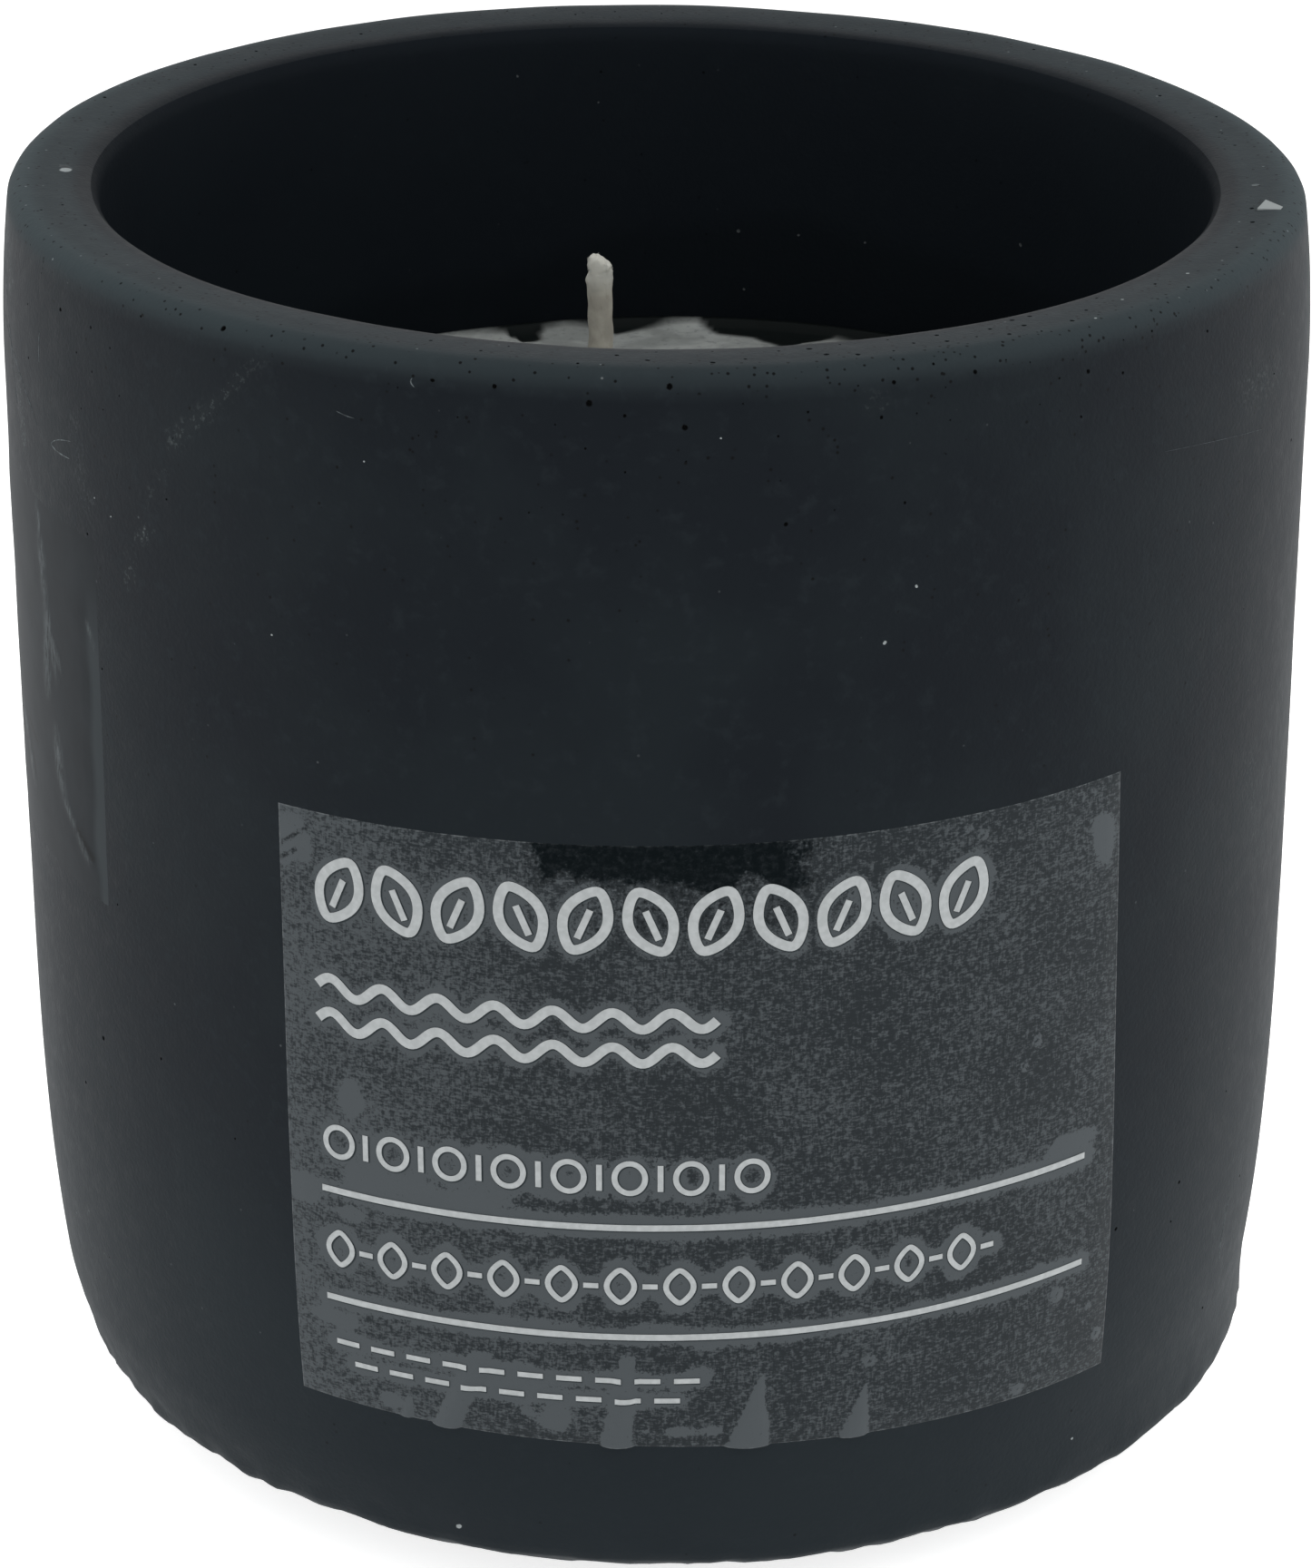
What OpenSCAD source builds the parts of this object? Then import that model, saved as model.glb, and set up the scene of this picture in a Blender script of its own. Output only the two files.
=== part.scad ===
// Scented candle in a cast cement pot, with a clear film label on the front and one on the side.
// Origin at the centre of the foot, on the surface that the pot stands on. +Z is up.
// The middle of the front label faces -Y. Angles round the pot run from -Y towards +X.

/* [Pot] */
// Outer diameter at the widest part of the wall
pot_d = 100; // [96:1:116]
// Height of the pot
pot_h = 100; // [92:1:125]
// Thickness of the wall round the straight bore that holds the wax
wall_t = 7.8; // [7:0.1:12]
// Thickness of the floor under the wax
floor_t = 8; // [6:0.5:14]
// How far the round corner comes in to the flat foot, on the radius
corner_w = 12; // [8:0.5:14]
// Height of the round corner between the foot and the wall
corner_h = 6; // [4:0.5:9]
// How far the wall leans in above that corner, on the radius
lean_in = 3.5; // [1:0.1:4.5]
// Height at which the wall starts to lean in towards the foot
lean_h = 46; // [30:1:60]
// How far the wall draws in below the rim, on the radius
rim_draw = 1; // [0.2:0.1:1.4]
// Height of the stretch below the rim that draws in
rim_draw_h = 14; // [8:1:20]
// Radius of the rim's outer edge
rim_outer_r = 1.5; // [1:0.1:2.6]
// Radius of the rim's inner edge
rim_inner_r = 1.4; // [0.8:0.1:2.4]
// How far the rim's top stands up between its two edges
rim_crown = 0.3; // [0.1:0.05:0.6]
// Radius of the corner between the bore and the floor
bore_corner_r = 4; // [2:0.5:6]

/* [Wax] */
// Depth of the wax's face below the top of the rim
wax_drop = 26.4; // [20:0.2:40]
// Height that the wax climbs up the bore as it sets
wall_climb = 0.5; // [0.2:0.1:1]
// Width of the band in which it climbs
wall_climb_w = 2.6; // [1.5:0.1:5]
// Height that the wax climbs up the wick
wick_climb = 0.7; // [0.3:0.1:1.2]
// Width of the little cone of wax round the wick
wick_climb_w = 1.5; // [0.8:0.1:3]
// Clearance between the wax and what it was poured round
wax_clear = 0.08; // [0.04:0.01:0.2]

/* [Wick] */
// Diameter of the waxed cotton wick
wick_d = 2; // [1.6:0.1:3]
// Length of wick that stands above the wax
wick_out = 19.2; // [8:0.2:22]
// Place of the wick across the pot
wick_x = -4.3; // [-8:0.1:8]
// Place of the wick from front to back
wick_y = 0.4; // [-8:0.1:8]
// Drop across the wick's slanted cut end
cut_drop = 0.8; // [0:0.1:1.5]
// Depth of the braid's relief
braid_depth = 0.09; // [0.02:0.01:0.15]
// Length of wick that one strand takes to go once round
braid_lead = 7.2; // [5:0.2:12]
// Strands in each direction of the braid
strands = 3; // [2:1:4]

/* [Wick holder] */
// Diameter of the tinned metal tab that the wick is crimped in
tab_d = 15; // [12:0.5:20]
// Thickness of the tab's sheet
tab_t = 0.3; // [0.2:0.05:0.5]
// Height of the tab's neck
neck_h = 4; // [2:0.5:6]
// Clearance between the wick and the neck's wall
neck_clear = 0.04; // [0.02:0.01:0.1]
// Depth of the two crimps in the neck
crimp_depth = 0.15; // [0.05:0.05:0.2]
// Width of each crimp
crimp_w = 1.2; // [0.6:0.1:2]
// Diameter of the foam sticker that holds the tab to the floor
sticker_d = 13; // [10:0.5:18]
// Thickness of the foam sticker
sticker_t = 0.8; // [0.4:0.1:1.5]

/* [Labels] */
// Thickness of the clear film
film_t = 0.1; // [0.08:0.01:0.2]
// Layer between the film and the wall
film_seat = 0.05; // [0.03:0.01:0.1]
// Width of the front label, measured round the wall
front_w = 65.5; // [30:0.5:90]
// Height of the front label
front_h = 49; // [20:0.2:60]
// Height of the front label's lower edge above the foot
front_z = 16.6; // [13:0.1:25]
// Width of the side label, measured round the wall
side_w = 42; // [20:1:60]
// Height of the side label
side_h = 29.5; // [15:0.5:35]
// Height of the side label's lower edge above the foot
side_z = 51; // [46:0.5:56]
// Angle of the side label's edge nearest the front
side_edge_angle = -59.5; // [-80:0.5:-58]

/* [Hidden] */
$fn = 144;
eps = 0.01;

pot_r = pot_d / 2;
bore_r = pot_r - wall_t;
draw_z = pot_h - rim_draw_h;
wick_r = wick_d / 2;
wax_r = bore_r - wax_clear;
wax_z = pot_h - wax_drop;
wick_z0 = floor_t + sticker_t;
wick_z1 = wax_z + wick_out;
cone_foot_r = wick_r + wick_climb_w;
cone_top_r = wick_r + wick_climb_w / 4;
neck_r = wick_r + neck_clear;
neck_out_r = neck_r + tab_t;
tab_z1 = wick_z0 + tab_t;
neck_z1 = wick_z0 + neck_h;
tab_r = max(tab_d, sticker_d) / 2;

arc_steps = 8;
corner_steps = 12;
film_steps = 14;
corner_power = 1.3;
lean_power = 3.2;
wick_sides = 18;
wick_ring = 0.6;
tab_bend = 0.5;

// Radius of the outer wall at a height, with the corner, the lean and the draw taken off.
// The corner follows an oval that lies between a straight chamfer and a quarter circle.
function oval(s) = pow(1 - pow(s, corner_power), 1 / corner_power);
function corner_cut(z) = z >= corner_h ? 0 : corner_w * (1 - oval(1 - z / corner_h));
function lean_cut(z) = z >= lean_h ? 0 : lean_in * pow(1 - z / lean_h, lean_power);
function draw_cut(z) = z <= draw_z ? 0 : rim_draw * pow((z - draw_z) / rim_draw_h, 2);
function wall_r(z) = pot_r - corner_cut(z) - lean_cut(z) - draw_cut(z);

// Even steps from one value to another, with both ends
function steps(a, b, n) = [for (i = [0:n]) a + (b - a) * i / n];
// All of a list but its first entry
function after_first(list) = [for (i = [1:len(list) - 1]) list[i]];
// Points of an arc about a centre
function arc(c, r, a0, a1, n) = [for (a = steps(a0, a1, n)) c + r * [cos(a), sin(a)]];

corner_zs = [for (a = steps(0, 90, corner_steps)) corner_h * (1 - pow(cos(a), 2 / corner_power))];
lean_zs = after_first(steps(corner_h, lean_h, film_steps));
draw_zs = steps(draw_z, pot_h - rim_outer_r, arc_steps);

// The rim's crown is one flat arc between the two edge radii
rim_out_c = [wall_r(pot_h - rim_outer_r) - rim_outer_r, pot_h - rim_outer_r];
rim_in_c = [bore_r + rim_inner_r, pot_h - rim_crown - rim_inner_r];
bore_corner_c = [bore_r - bore_corner_r, floor_t + bore_corner_r];
crown_x0 = rim_out_c[0];
crown_x1 = rim_in_c[0];

function crown(t) = [
    crown_x0 + (crown_x1 - crown_x0) * t,
    pot_h - rim_crown * pow(t, 2)
];

module pot_profile() {
    polygon(concat(
        [[0, 0]],
        [for (z = corner_zs) [wall_r(z), z]],
        [for (z = lean_zs) [wall_r(z), z]],
        [for (z = draw_zs) [wall_r(z), z]],
        arc(rim_out_c, rim_outer_r, 0, 90, arc_steps),
        [for (t = after_first(steps(0, 1, arc_steps))) crown(t)],
        after_first(arc(rim_in_c, rim_inner_r, 90, 180, arc_steps)),
        arc(bore_corner_c, bore_corner_r, 0, -90, arc_steps),
        [[0, floor_t]]
    ));
}

// One casting: foot, round corner, wall, rim and the straight bore
module pot() {
    color("#23282C")
        rotate_extrude()
            pot_profile();
}

function climb(t) = [
    wax_r - wall_climb_w * (1 - t),
    wax_z + wall_climb * pow(t, 2)
];

module wax_profile() {
    polygon(concat(
        [[0, floor_t]],
        arc([wax_r - bore_corner_r, floor_t + bore_corner_r], bore_corner_r, -90, 0, arc_steps),
        [for (t = steps(1, 0, arc_steps)) climb(t)],
        [[0, wax_z]]
    ));
}

// What the wax was poured round, with its clearance
module wick_space() {
    translate([wick_x, wick_y, floor_t - eps])
        cylinder(r = tab_r + wax_clear, h = sticker_t + tab_t + tab_bend + wax_clear + eps);
    translate([wick_x, wick_y, floor_t])
        cylinder(r = neck_out_r + wax_clear, h = sticker_t + neck_h + wax_clear);
    translate([wick_x, wick_y, floor_t])
        cylinder(r = wick_r + wax_clear, h = wick_z1 - floor_t);
}

// The fill, flat on the floor, climbing a little at the bore and at the wick
module wax() {
    color("#8F8F8C")
        difference() {
            union() {
                rotate_extrude()
                    wax_profile();
                translate([wick_x, wick_y, wax_z - eps])
                    cylinder(r1 = cone_foot_r, r2 = cone_top_r, h = wick_climb + eps);
            }
            wick_space();
        }
}

// Radius of the braid: two sets of strands that wind opposite ways
function strand(a, z, way) = cos(strands * (a + way * 360 * z / braid_lead));
function braid_r(a, z) = wick_r - braid_depth * (1 - max(strand(a, z, 1), strand(a, z, -1))) / 2;

wick_rings = round((wick_z1 - wick_z0) / wick_ring);
wick_span = wick_z1 - wick_z0;

// The last rings tip over into the slanted cut
function cut_at(a, z) = z < wick_z1 - 2 * wick_r ? 0
    : cut_drop * (1 + cos(a)) / 2 * (z - wick_z1 + 2 * wick_r) / (2 * wick_r);

module braid() {
    zs = steps(wick_z0, wick_z1, wick_rings);
    side = [
        for (z = zs, k = [0:wick_sides - 1])
            let (a = 360 * k / wick_sides)
            [braid_r(a, z) * cos(a), braid_r(a, z) * sin(a), z - cut_at(a, z)]
    ];
    top = len(side);
    last = wick_rings * wick_sides;
    quads = [
        for (i = [0:wick_rings - 1], k = [0:wick_sides - 1])
            let (n = (k + 1) % wick_sides, b = i * wick_sides)
            [b + k, b + wick_sides + k, b + wick_sides + n, b + n]
    ];
    polyhedron(
        concat(side, [[0, 0, wick_z1 - cut_drop / 2], [0, 0, wick_z0]]),
        concat(
            quads,
            [for (k = [0:wick_sides - 1]) [last + k, top, last + (k + 1) % wick_sides]],
            [for (k = [0:wick_sides - 1]) [k, (k + 1) % wick_sides, top + 1]]
        )
    );
}

// Braided cotton, soaked in wax, with a slanted cut end
module wick() {
    color("#B8B5A8")
        translate([wick_x, wick_y, 0])
            braid();
}

module tab_profile() {
    polygon([
        [neck_r, wick_z0],
        [tab_d / 2, wick_z0],
        [tab_d / 2, tab_z1],
        [neck_out_r + tab_bend, tab_z1],
        [neck_out_r, tab_z1 + tab_bend],
        [neck_out_r, neck_z1],
        [neck_r, neck_z1]
    ]);
}

// Round tab with a neck, pressed from tinned sheet, with a crimp on two sides of the neck
module wick_sustainer() {
    color("silver")
        translate([wick_x, wick_y, 0])
            difference() {
                rotate_extrude()
                    tab_profile();
                for (side = [-1, 1])
                    translate([side * (neck_out_r + crimp_w - crimp_depth), 0, neck_z1 - neck_h / 3])
                        rotate([90, 0, 0])
                            cylinder(r = crimp_w, h = 4 * neck_out_r, center = true);
            }
}

// Round foam sticker between the tab and the floor
module wick_sticker() {
    color("#D9D9D2")
        translate([wick_x, wick_y, floor_t])
            cylinder(d = sticker_d, h = sticker_t);
}

// Angle that a width takes up round the widest part of the wall
function turn(w) = w / pot_r * 180 / PI;

// A film wrapped on the wall from one angle to another, between two heights
module film(a0, a1, z0, z1) {
    zs = steps(z0, z1, film_steps);
    rotate([0, 0, a0 - 90])
        rotate_extrude(angle = a1 - a0)
            polygon(concat(
                [for (z = zs) [wall_r(z) + film_seat, z]],
                [for (i = [film_steps:-1:0]) [wall_r(zs[i]) + film_seat + film_t, zs[i]]]
            ));
}

// Clear film on the front, its middle at -Y
module front_label() {
    color("#54585A")
        film(-turn(front_w) / 2, turn(front_w) / 2, front_z, front_z + front_h);
}

// Clear film on the left side
module side_label() {
    color("#3A4044")
        film(side_edge_angle - turn(side_w), side_edge_angle, side_z, side_z + side_h);
}

pot();
wax();
wick();
wick_sustainer();
wick_sticker();
front_label();
side_label();
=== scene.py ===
import bpy
import numpy as np
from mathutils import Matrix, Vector


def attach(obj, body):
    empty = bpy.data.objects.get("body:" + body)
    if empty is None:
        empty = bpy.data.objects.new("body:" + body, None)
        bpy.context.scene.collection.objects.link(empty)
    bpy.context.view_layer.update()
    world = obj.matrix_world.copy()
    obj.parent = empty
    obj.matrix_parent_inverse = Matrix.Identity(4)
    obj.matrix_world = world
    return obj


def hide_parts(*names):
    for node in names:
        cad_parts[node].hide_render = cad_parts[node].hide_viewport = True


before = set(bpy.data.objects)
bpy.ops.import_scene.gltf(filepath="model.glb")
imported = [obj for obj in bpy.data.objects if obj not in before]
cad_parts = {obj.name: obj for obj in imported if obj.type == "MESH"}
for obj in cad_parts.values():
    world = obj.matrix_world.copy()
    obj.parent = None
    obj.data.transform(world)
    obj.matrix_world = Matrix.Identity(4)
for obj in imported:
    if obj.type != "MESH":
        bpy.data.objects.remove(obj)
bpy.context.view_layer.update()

# The pot: one casting of fine cement, poured in a rubber mould and painted matt
# blue-black. Its wall leans in to a broad round corner at the foot, the rim is soft on
# both edges, and air bubbles in the mix have left pinholes, most of them near the rim.
POT_R, POT_H, WALL_T, FLOOR_T = 50.0, 100.0, 7.8, 8.0
CORNER_W, CORNER_H, CORNER_POWER = 12.0, 6.0, 1.3
LEAN_IN, LEAN_H, LEAN_POWER = 3.5, 46.0, 3.2
RIM_DRAW, RIM_DRAW_H = 1.0, 14.0
RIM_TILT, TILT_FROM = 0.44, 80.0
RIM_OUTER_R, RIM_INNER_R, RIM_CROWN = 1.5, 1.4, 0.3
BORE_CORNER_R = 4.0
BORE_R = POT_R - WALL_T
WAX_Z = 73.6
POT_COLUMNS = 390
MM = 0.001
TURN = 2 * np.pi


def oval(share):
    """Height of a quarter oval over its width: the power curve that lies between a
    chamfer and a circle."""
    return (1 - np.clip(share, 0, 1) ** CORNER_POWER) ** (1 / CORNER_POWER)


def wall_radius(z):
    """Outer radius at a height, in mm: the widest radius less an oval corner at the
    foot, less a power curve below LEAN_H, less a parabola below the rim."""
    z = np.asarray(z, float)
    corner = CORNER_W * (1 - oval(1 - z / CORNER_H))
    lean = LEAN_IN * np.clip(1 - z / LEAN_H, 0, 1) ** LEAN_POWER
    draw = RIM_DRAW * np.clip((z - POT_H + RIM_DRAW_H) / RIM_DRAW_H, 0, None) ** 2
    return POT_R - corner - lean - draw


def even(points, step):
    """Points at equal steps along a polyline, without its last point."""
    points = np.asarray(points, float)
    length = np.r_[0, np.cumsum(np.hypot(*np.diff(points, axis=0).T))]
    at = np.linspace(0, length[-1], max(2, int(round(length[-1] / step)) + 1))[:-1]
    return np.c_[np.interp(at, length, points[:, 0]), np.interp(at, length, points[:, 1])]


def arc(centre, radius, start, end, count=24):
    """Points of a circle about a centre, from one angle to another, in degrees."""
    turn = np.radians(np.linspace(start, end, count))
    return np.c_[centre[0] + radius * np.cos(turn), centre[1] + radius * np.sin(turn)]


def lattice(u, v, period, seed):
    """Smooth noise from -1 to 1: random values at whole u and v, joined by smoothstep.
    It repeats in u after period cells."""
    table = np.random.default_rng(seed).uniform(-1, 1, (period, 256))
    i, j = np.floor(u).astype(int), np.floor(v).astype(int)
    s, t = u - i, v - j
    s, t = s * s * (3 - 2 * s), t * t * (3 - 2 * t)
    low = table[i % period, j % 256] * (1 - s) + table[(i + 1) % period, j % 256] * s
    high = table[i % period, (j + 1) % 256] * (1 - s)
    high = high + table[(i + 1) % period, (j + 1) % 256] * s
    return low * (1 - t) + high * t


def swell(angle, z):
    """How far the cast wall stands off its true form, in mm: two octaves of noise."""
    broad = lattice(angle / TURN * 14, z / 24 + 40, 14, 3)
    fine = lattice(angle / TURN * 70, z / 5 + 90, 70, 4)
    return 0.07 * broad + 0.018 * fine


def on_wall(angle, radius, z):
    """Metres from an angle round the pot, counted from -Y towards +X, a radius and a
    height in mm. Above TILT_FROM the casting tilts, by up to RIM_TILT at the rim: it is
    higher on the left than on the right."""
    x, y = radius * np.sin(angle), -radius * np.cos(angle)
    tilt = RIM_TILT * np.clip((z - TILT_FROM) / (POT_H - TILT_FROM), 0, 1) * x / POT_R
    return np.stack([x, y, z - tilt], -1) * MM


def grid_faces(rows, columns, closed):
    """Quads of a grid of points, row by row, whose columns may close into a ring."""
    i, j = np.meshgrid(np.arange(rows - 1), np.arange(columns - (not closed)), indexing="ij")
    here, after = i * columns, (j + 1) % columns
    return np.stack([here + j, here + after, here + columns + after, here + columns + j], -1)


def new_piece(name, points, faces, material, values=None, uv=None, flat=0):
    """A smooth mesh from an array of points in metres and lists of faces, of which the
    last few lists may stay flat, with float values and a UV pair for each point. It
    rides on the one body."""
    mesh = bpy.data.meshes.new(name)
    corners = np.concatenate([np.ravel(f) for f in faces]).astype(np.int32)
    sizes = np.concatenate([np.full(len(f), np.shape(f)[1]) for f in faces]).astype(np.int32)
    mesh.vertices.add(len(points))
    mesh.vertices.foreach_set("co", np.ascontiguousarray(points, np.float32).ravel())
    mesh.loops.add(len(corners))
    mesh.loops.foreach_set("vertex_index", corners)
    mesh.polygons.add(len(sizes))
    mesh.polygons.foreach_set("loop_start", np.r_[0, np.cumsum(sizes)[:-1]].astype(np.int32))
    mesh.polygons.foreach_set("loop_total", sizes)
    mesh.update(calc_edges=True)
    for key, value in (values or {}).items():
        layer = mesh.attributes.new(key, "FLOAT", "POINT")
        layer.data.foreach_set("value", np.ascontiguousarray(value, np.float32))
    if uv is not None:
        layer = mesh.uv_layers.new(name="Surface")
        layer.data.foreach_set("uv", np.ascontiguousarray(uv[corners], np.float32).ravel())
    mesh.materials.append(material)
    smooth = np.concatenate([np.full(len(f), n < len(faces) - flat) for n, f in enumerate(faces)])
    mesh.polygons.foreach_set("use_smooth", smooth)
    mesh.validate()
    piece = bpy.data.objects.new(name, mesh)
    bpy.context.scene.collection.objects.link(piece)
    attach(piece, "root")
    return piece


def linear(code):
    """Linear colour of an sRGB hex value."""
    c = np.array([int(code[k : k + 2], 16) / 255 for k in (1, 3, 5)])
    c = np.where(c <= 0.04045, c / 12.92, ((c + 0.055) / 1.055) ** 2.4)
    return (*c.tolist(), 1.0)


def new_material(name):
    """An empty material, with its node tree and its Principled shader."""
    material = bpy.data.materials.new(name)
    material.use_nodes = True
    tree = material.node_tree
    return material, tree, tree.nodes["Principled BSDF"]


def join(tree, node, inputs):
    """Gives sockets of a node, by number or name, their values or links."""
    for key, value in inputs.items():
        if isinstance(value, bpy.types.NodeSocket):
            tree.links.new(value, node.inputs[key])
        else:
            node.inputs[key].default_value = value


def add(tree, kind, *first, at=None, out=0, **settings):
    """Adds a shader node. Values or links go to its first sockets in their order, or to
    the sockets that at names; settings are its own. Gives one of its outputs."""
    made = tree.nodes.new("ShaderNode" + kind)
    for key, value in settings.items():
        setattr(made, key, value)
    join(tree, made, {**dict(enumerate(first)), **(at or {})})
    return made.outputs[out]


rim_out = (float(wall_radius(POT_H - RIM_OUTER_R)) - RIM_OUTER_R, POT_H - RIM_OUTER_R)
rim_in = (BORE_R + RIM_INNER_R, POT_H - RIM_CROWN - RIM_INNER_R)
crown_t = np.linspace(0, 1, 12)
corner_z = CORNER_H * (1 - np.cos(np.linspace(0, np.pi / 2, 60)) ** (2 / CORNER_POWER))
wall_z = np.linspace(CORNER_H, POT_H - RIM_OUTER_R, 200)
crown_r = rim_out[0] + (rim_in[0] - rim_out[0]) * crown_t
foot_r = float(wall_radius(0))
# The foot is plain inside FOOT_PLAIN_R, and the bore is coarse below the wax's face
FOOT_PLAIN_R, BORE_FINE_Z = 31.0, WAX_Z - 2
bore_corner = (BORE_R - BORE_CORNER_R, FLOOR_T + BORE_CORNER_R)
path = np.concatenate(
    [
        even([(0, 0), (FOOT_PLAIN_R, 0)], step=5),
        even([(FOOT_PLAIN_R, 0), (foot_r, 0)], step=0.7),
        even(np.c_[wall_radius(corner_z), corner_z], step=0.6),
        even(np.c_[wall_radius(wall_z), wall_z], step=0.78),
        even(arc(rim_out, RIM_OUTER_R, 0, 90), step=0.45),
        even(np.c_[crown_r, POT_H - RIM_CROWN * crown_t**2], step=0.6),
        even(arc(rim_in, RIM_INNER_R, 90, 180), step=0.45),
        even([(BORE_R, rim_in[1]), (BORE_R, BORE_FINE_Z)], step=0.85),
        even([(BORE_R, BORE_FINE_Z), (BORE_R, bore_corner[1])], step=12),
        even(arc(bore_corner, BORE_CORNER_R, 0, -90), step=2),
        [(bore_corner[0], FLOOR_T), (0, FLOOR_T)],
    ]
)
path_r, path_z = path.T
rows = len(path)
along = np.gradient(path, axis=0)
along = along / np.hypot(*along.T)[:, None]
outward = np.c_[along[:, 1], -along[:, 0]]
outward[0], outward[-1] = (0, -1), (0, 1)
angle = np.arange(POT_COLUMNS) / POT_COLUMNS * TURN - np.pi
A, R = np.meshgrid(angle, path_r)
Z = np.meshgrid(angle, path_z)[1]

# How far each part of the casting strays: the foot sits skew under the wall, fuller on
# the right and worn on the left; its corner is ragged where the mould's lip tore; the
# rim's top is faintly hollowed, and the wall swells.
FOOT_SKEW, FOOT_SKEW_H = 2.0, 12.0
TORN_Z, TORN_W, RAGGED_BY, PITTED_BY = 3.8, 3.4, 0.34, 0.7
# The rim's top lies above RIM_TOP_Z, and the flat of the foot inside UNDER_R
RIM_TOP_Z, UNDER_R = 99.3, 34.0
inner = np.zeros(rows, bool)
inner[np.argmax(path_z > POT_H - 0.01) :] = True
inner &= path_r < BORE_R + 0.01
foot = ((path_z < 20) & ~inner)[:, None]
torn = np.exp(-(((Z - TORN_Z) / TORN_W) ** 2)) * np.clip((R - 33) / 2, 0, 1) * foot
left_torn = 0.5 + 0.5 * np.clip((-np.sin(A + 0.2) - 0.3) / 0.4, 0, 1)
ragged = RAGGED_BY * lattice(A / TURN * 190, Z / 1.1 + 10, 190, 11)
ragged = ragged + 0.12 * lattice(A / TURN * 60, Z / 3 + 10, 60, 12)
pits = np.clip(lattice(A / TURN * 120, Z / 1.6 + 20, 120, 13) - 0.5, 0, 1)
off = swell(A, Z) * np.where(inner, 0.5, 1)[:, None]
off = off + torn * left_torn * (ragged - PITTED_BY * pits)
rim_share = np.clip((path_z - 96) / 3, 0, 1)[:, None]
off = off + rim_share * 0.05 * lattice(A / TURN * 38, R / 3, 38, 14)
off[path_z < 0.02] = np.minimum(off[path_z < 0.02], 0)
off[[0, -1]] = 0
skew = FOOT_SKEW * np.clip(1 - Z / FOOT_SKEW_H, 0, 1) ** 1.5 * np.sin(A) * foot
skew = skew * R / np.maximum(wall_radius(Z), 1)
R = R + off * outward[:, :1] + skew
Z = np.maximum(Z + off * outward[:, 1:], 0)
pot_points = on_wall(A, R, Z).reshape(-1, 3)

# Pinholes, each by angle in degrees, height in mm on the wall or radius on the rim's
# top, and its own radius: those that the photograph shows, then more of the same kind.
SEEN_HOLES = (
    (-10.2, 97.5, 0.21), (-3.9, 98.9, 0.2), (-2.7, 96.1, 0.19), (-7.4, 96.9, 0.12),
    (-5.0, 97.8, 0.1), (-22.8, 98.4, 0.13), (-21.0, 97.6, 0.22), (-17.7, 98.6, 0.15),
    (-16.3, 98.4, 0.14), (-14.8, 98.7, 0.15), (14.1, 98.3, 0.14), (13.0, 95.9, 0.12),
    (16.1, 97.4, 0.1), (15.9, 96.6, 0.1), (21.2, 98.6, 0.15), (32.2, 97.0, 0.15),
    (31.4, 97.5, 0.1), (36.0, 96.1, 0.11), (31.3, 93.8, 0.1), (29.9, 94.9, 0.09),
    (7.0, 97.0, 0.09), (4.6, 95.6, 0.08), (5.2, 89.0, 0.14), (3.9, 90.2, 0.08),
    (4.3, 89.8, 0.07), (14.9, 90.2, 0.1), (15.5, 90.7, 0.08), (14.4, 91.3, 0.08),
    (47.2, 97.1, 0.11), (48.6, 97.2, 0.1), (47.8, 97.9, 0.1), (48.2, 28.6, 0.14),
    (39.0, 27.6, 0.14), (47.3, 25.4, 0.1), (49.0, 25.2, 0.1), (38.0, 33.8, 0.11),
    (56.7, 13.8, 0.12), (-64.8, 95.9, 0.15), (-59.2, 96.0, 0.1), (-56.1, 95.3, 0.07),
    (-58.8, 93.3, 0.07), (-48.6, 86.4, 0.08), (-59.0, 70.6, 0.09), (-42.5, 99.3, 0.18),
    (-42.1, 98.6, 0.12), (-41.2, 98.3, 0.08), (-62.0, 39.6, 0.17), (-62.7, 38.9, 0.1),
    (-52.5, 40.6, 0.11), (-51.6, 40.3, 0.13), (-66.4, 34.1, 0.12), (-60.4, 80.9, 0.1),
    (-54.6, 92.0, 0.06), (-57.0, 91.0, 0.06), (-61.5, 93.6, 0.07), (-60.6, 90.2, 0.06),
)
RIM_HOLES = (
    (-0.3, 46.85, 0.16), (0.5, 48.0, 0.16), (8.5, 44.7, 0.2), (9.4, 46.4, 0.18),
    (9.3, 47.9, 0.17), (11.9, 47.2, 0.16), (14.0, 47.9, 0.16), (20.5, 44.6, 0.16),
    (25.5, 45.4, 0.15), (31.0, 44.4, 0.15),
)
# How many more lie on the rim's top and on its edge, crowded to the front right or
# anywhere there, then on the wall at any height and in the band below the rim
RIM_CROWD, RIM_ANY, EDGE_CROWD, EDGE_ANY, WALL_ANY, BAND_ANY = 75, 35, 40, 15, 50, 50
draw = np.random.default_rng(21)
rim_a = np.r_[draw.normal(16, 20, RIM_CROWD), draw.uniform(-180, 180, RIM_ANY)]
rim_r = draw.uniform(44.2, 48.0, RIM_CROWD + RIM_ANY)
edge_a = np.r_[draw.normal(21, 11, EDGE_CROWD), draw.uniform(-60, 70, EDGE_ANY)]
edge_z = draw.uniform(95.5, 99.4, EDGE_CROWD + EDGE_ANY)
wall_a, any_z = draw.uniform(-180, 180, WALL_ANY), 96 - 84 * draw.random(WALL_ANY) ** 0.7
band_a, band_z = draw.uniform(-180, 180, BAND_ANY), draw.uniform(89, 98, BAND_ANY)


def size_of(count, least, most):
    """Radii from least to most, in mm, small ones more often."""
    return least + (most - least) * draw.random(count) ** 2.5


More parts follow.
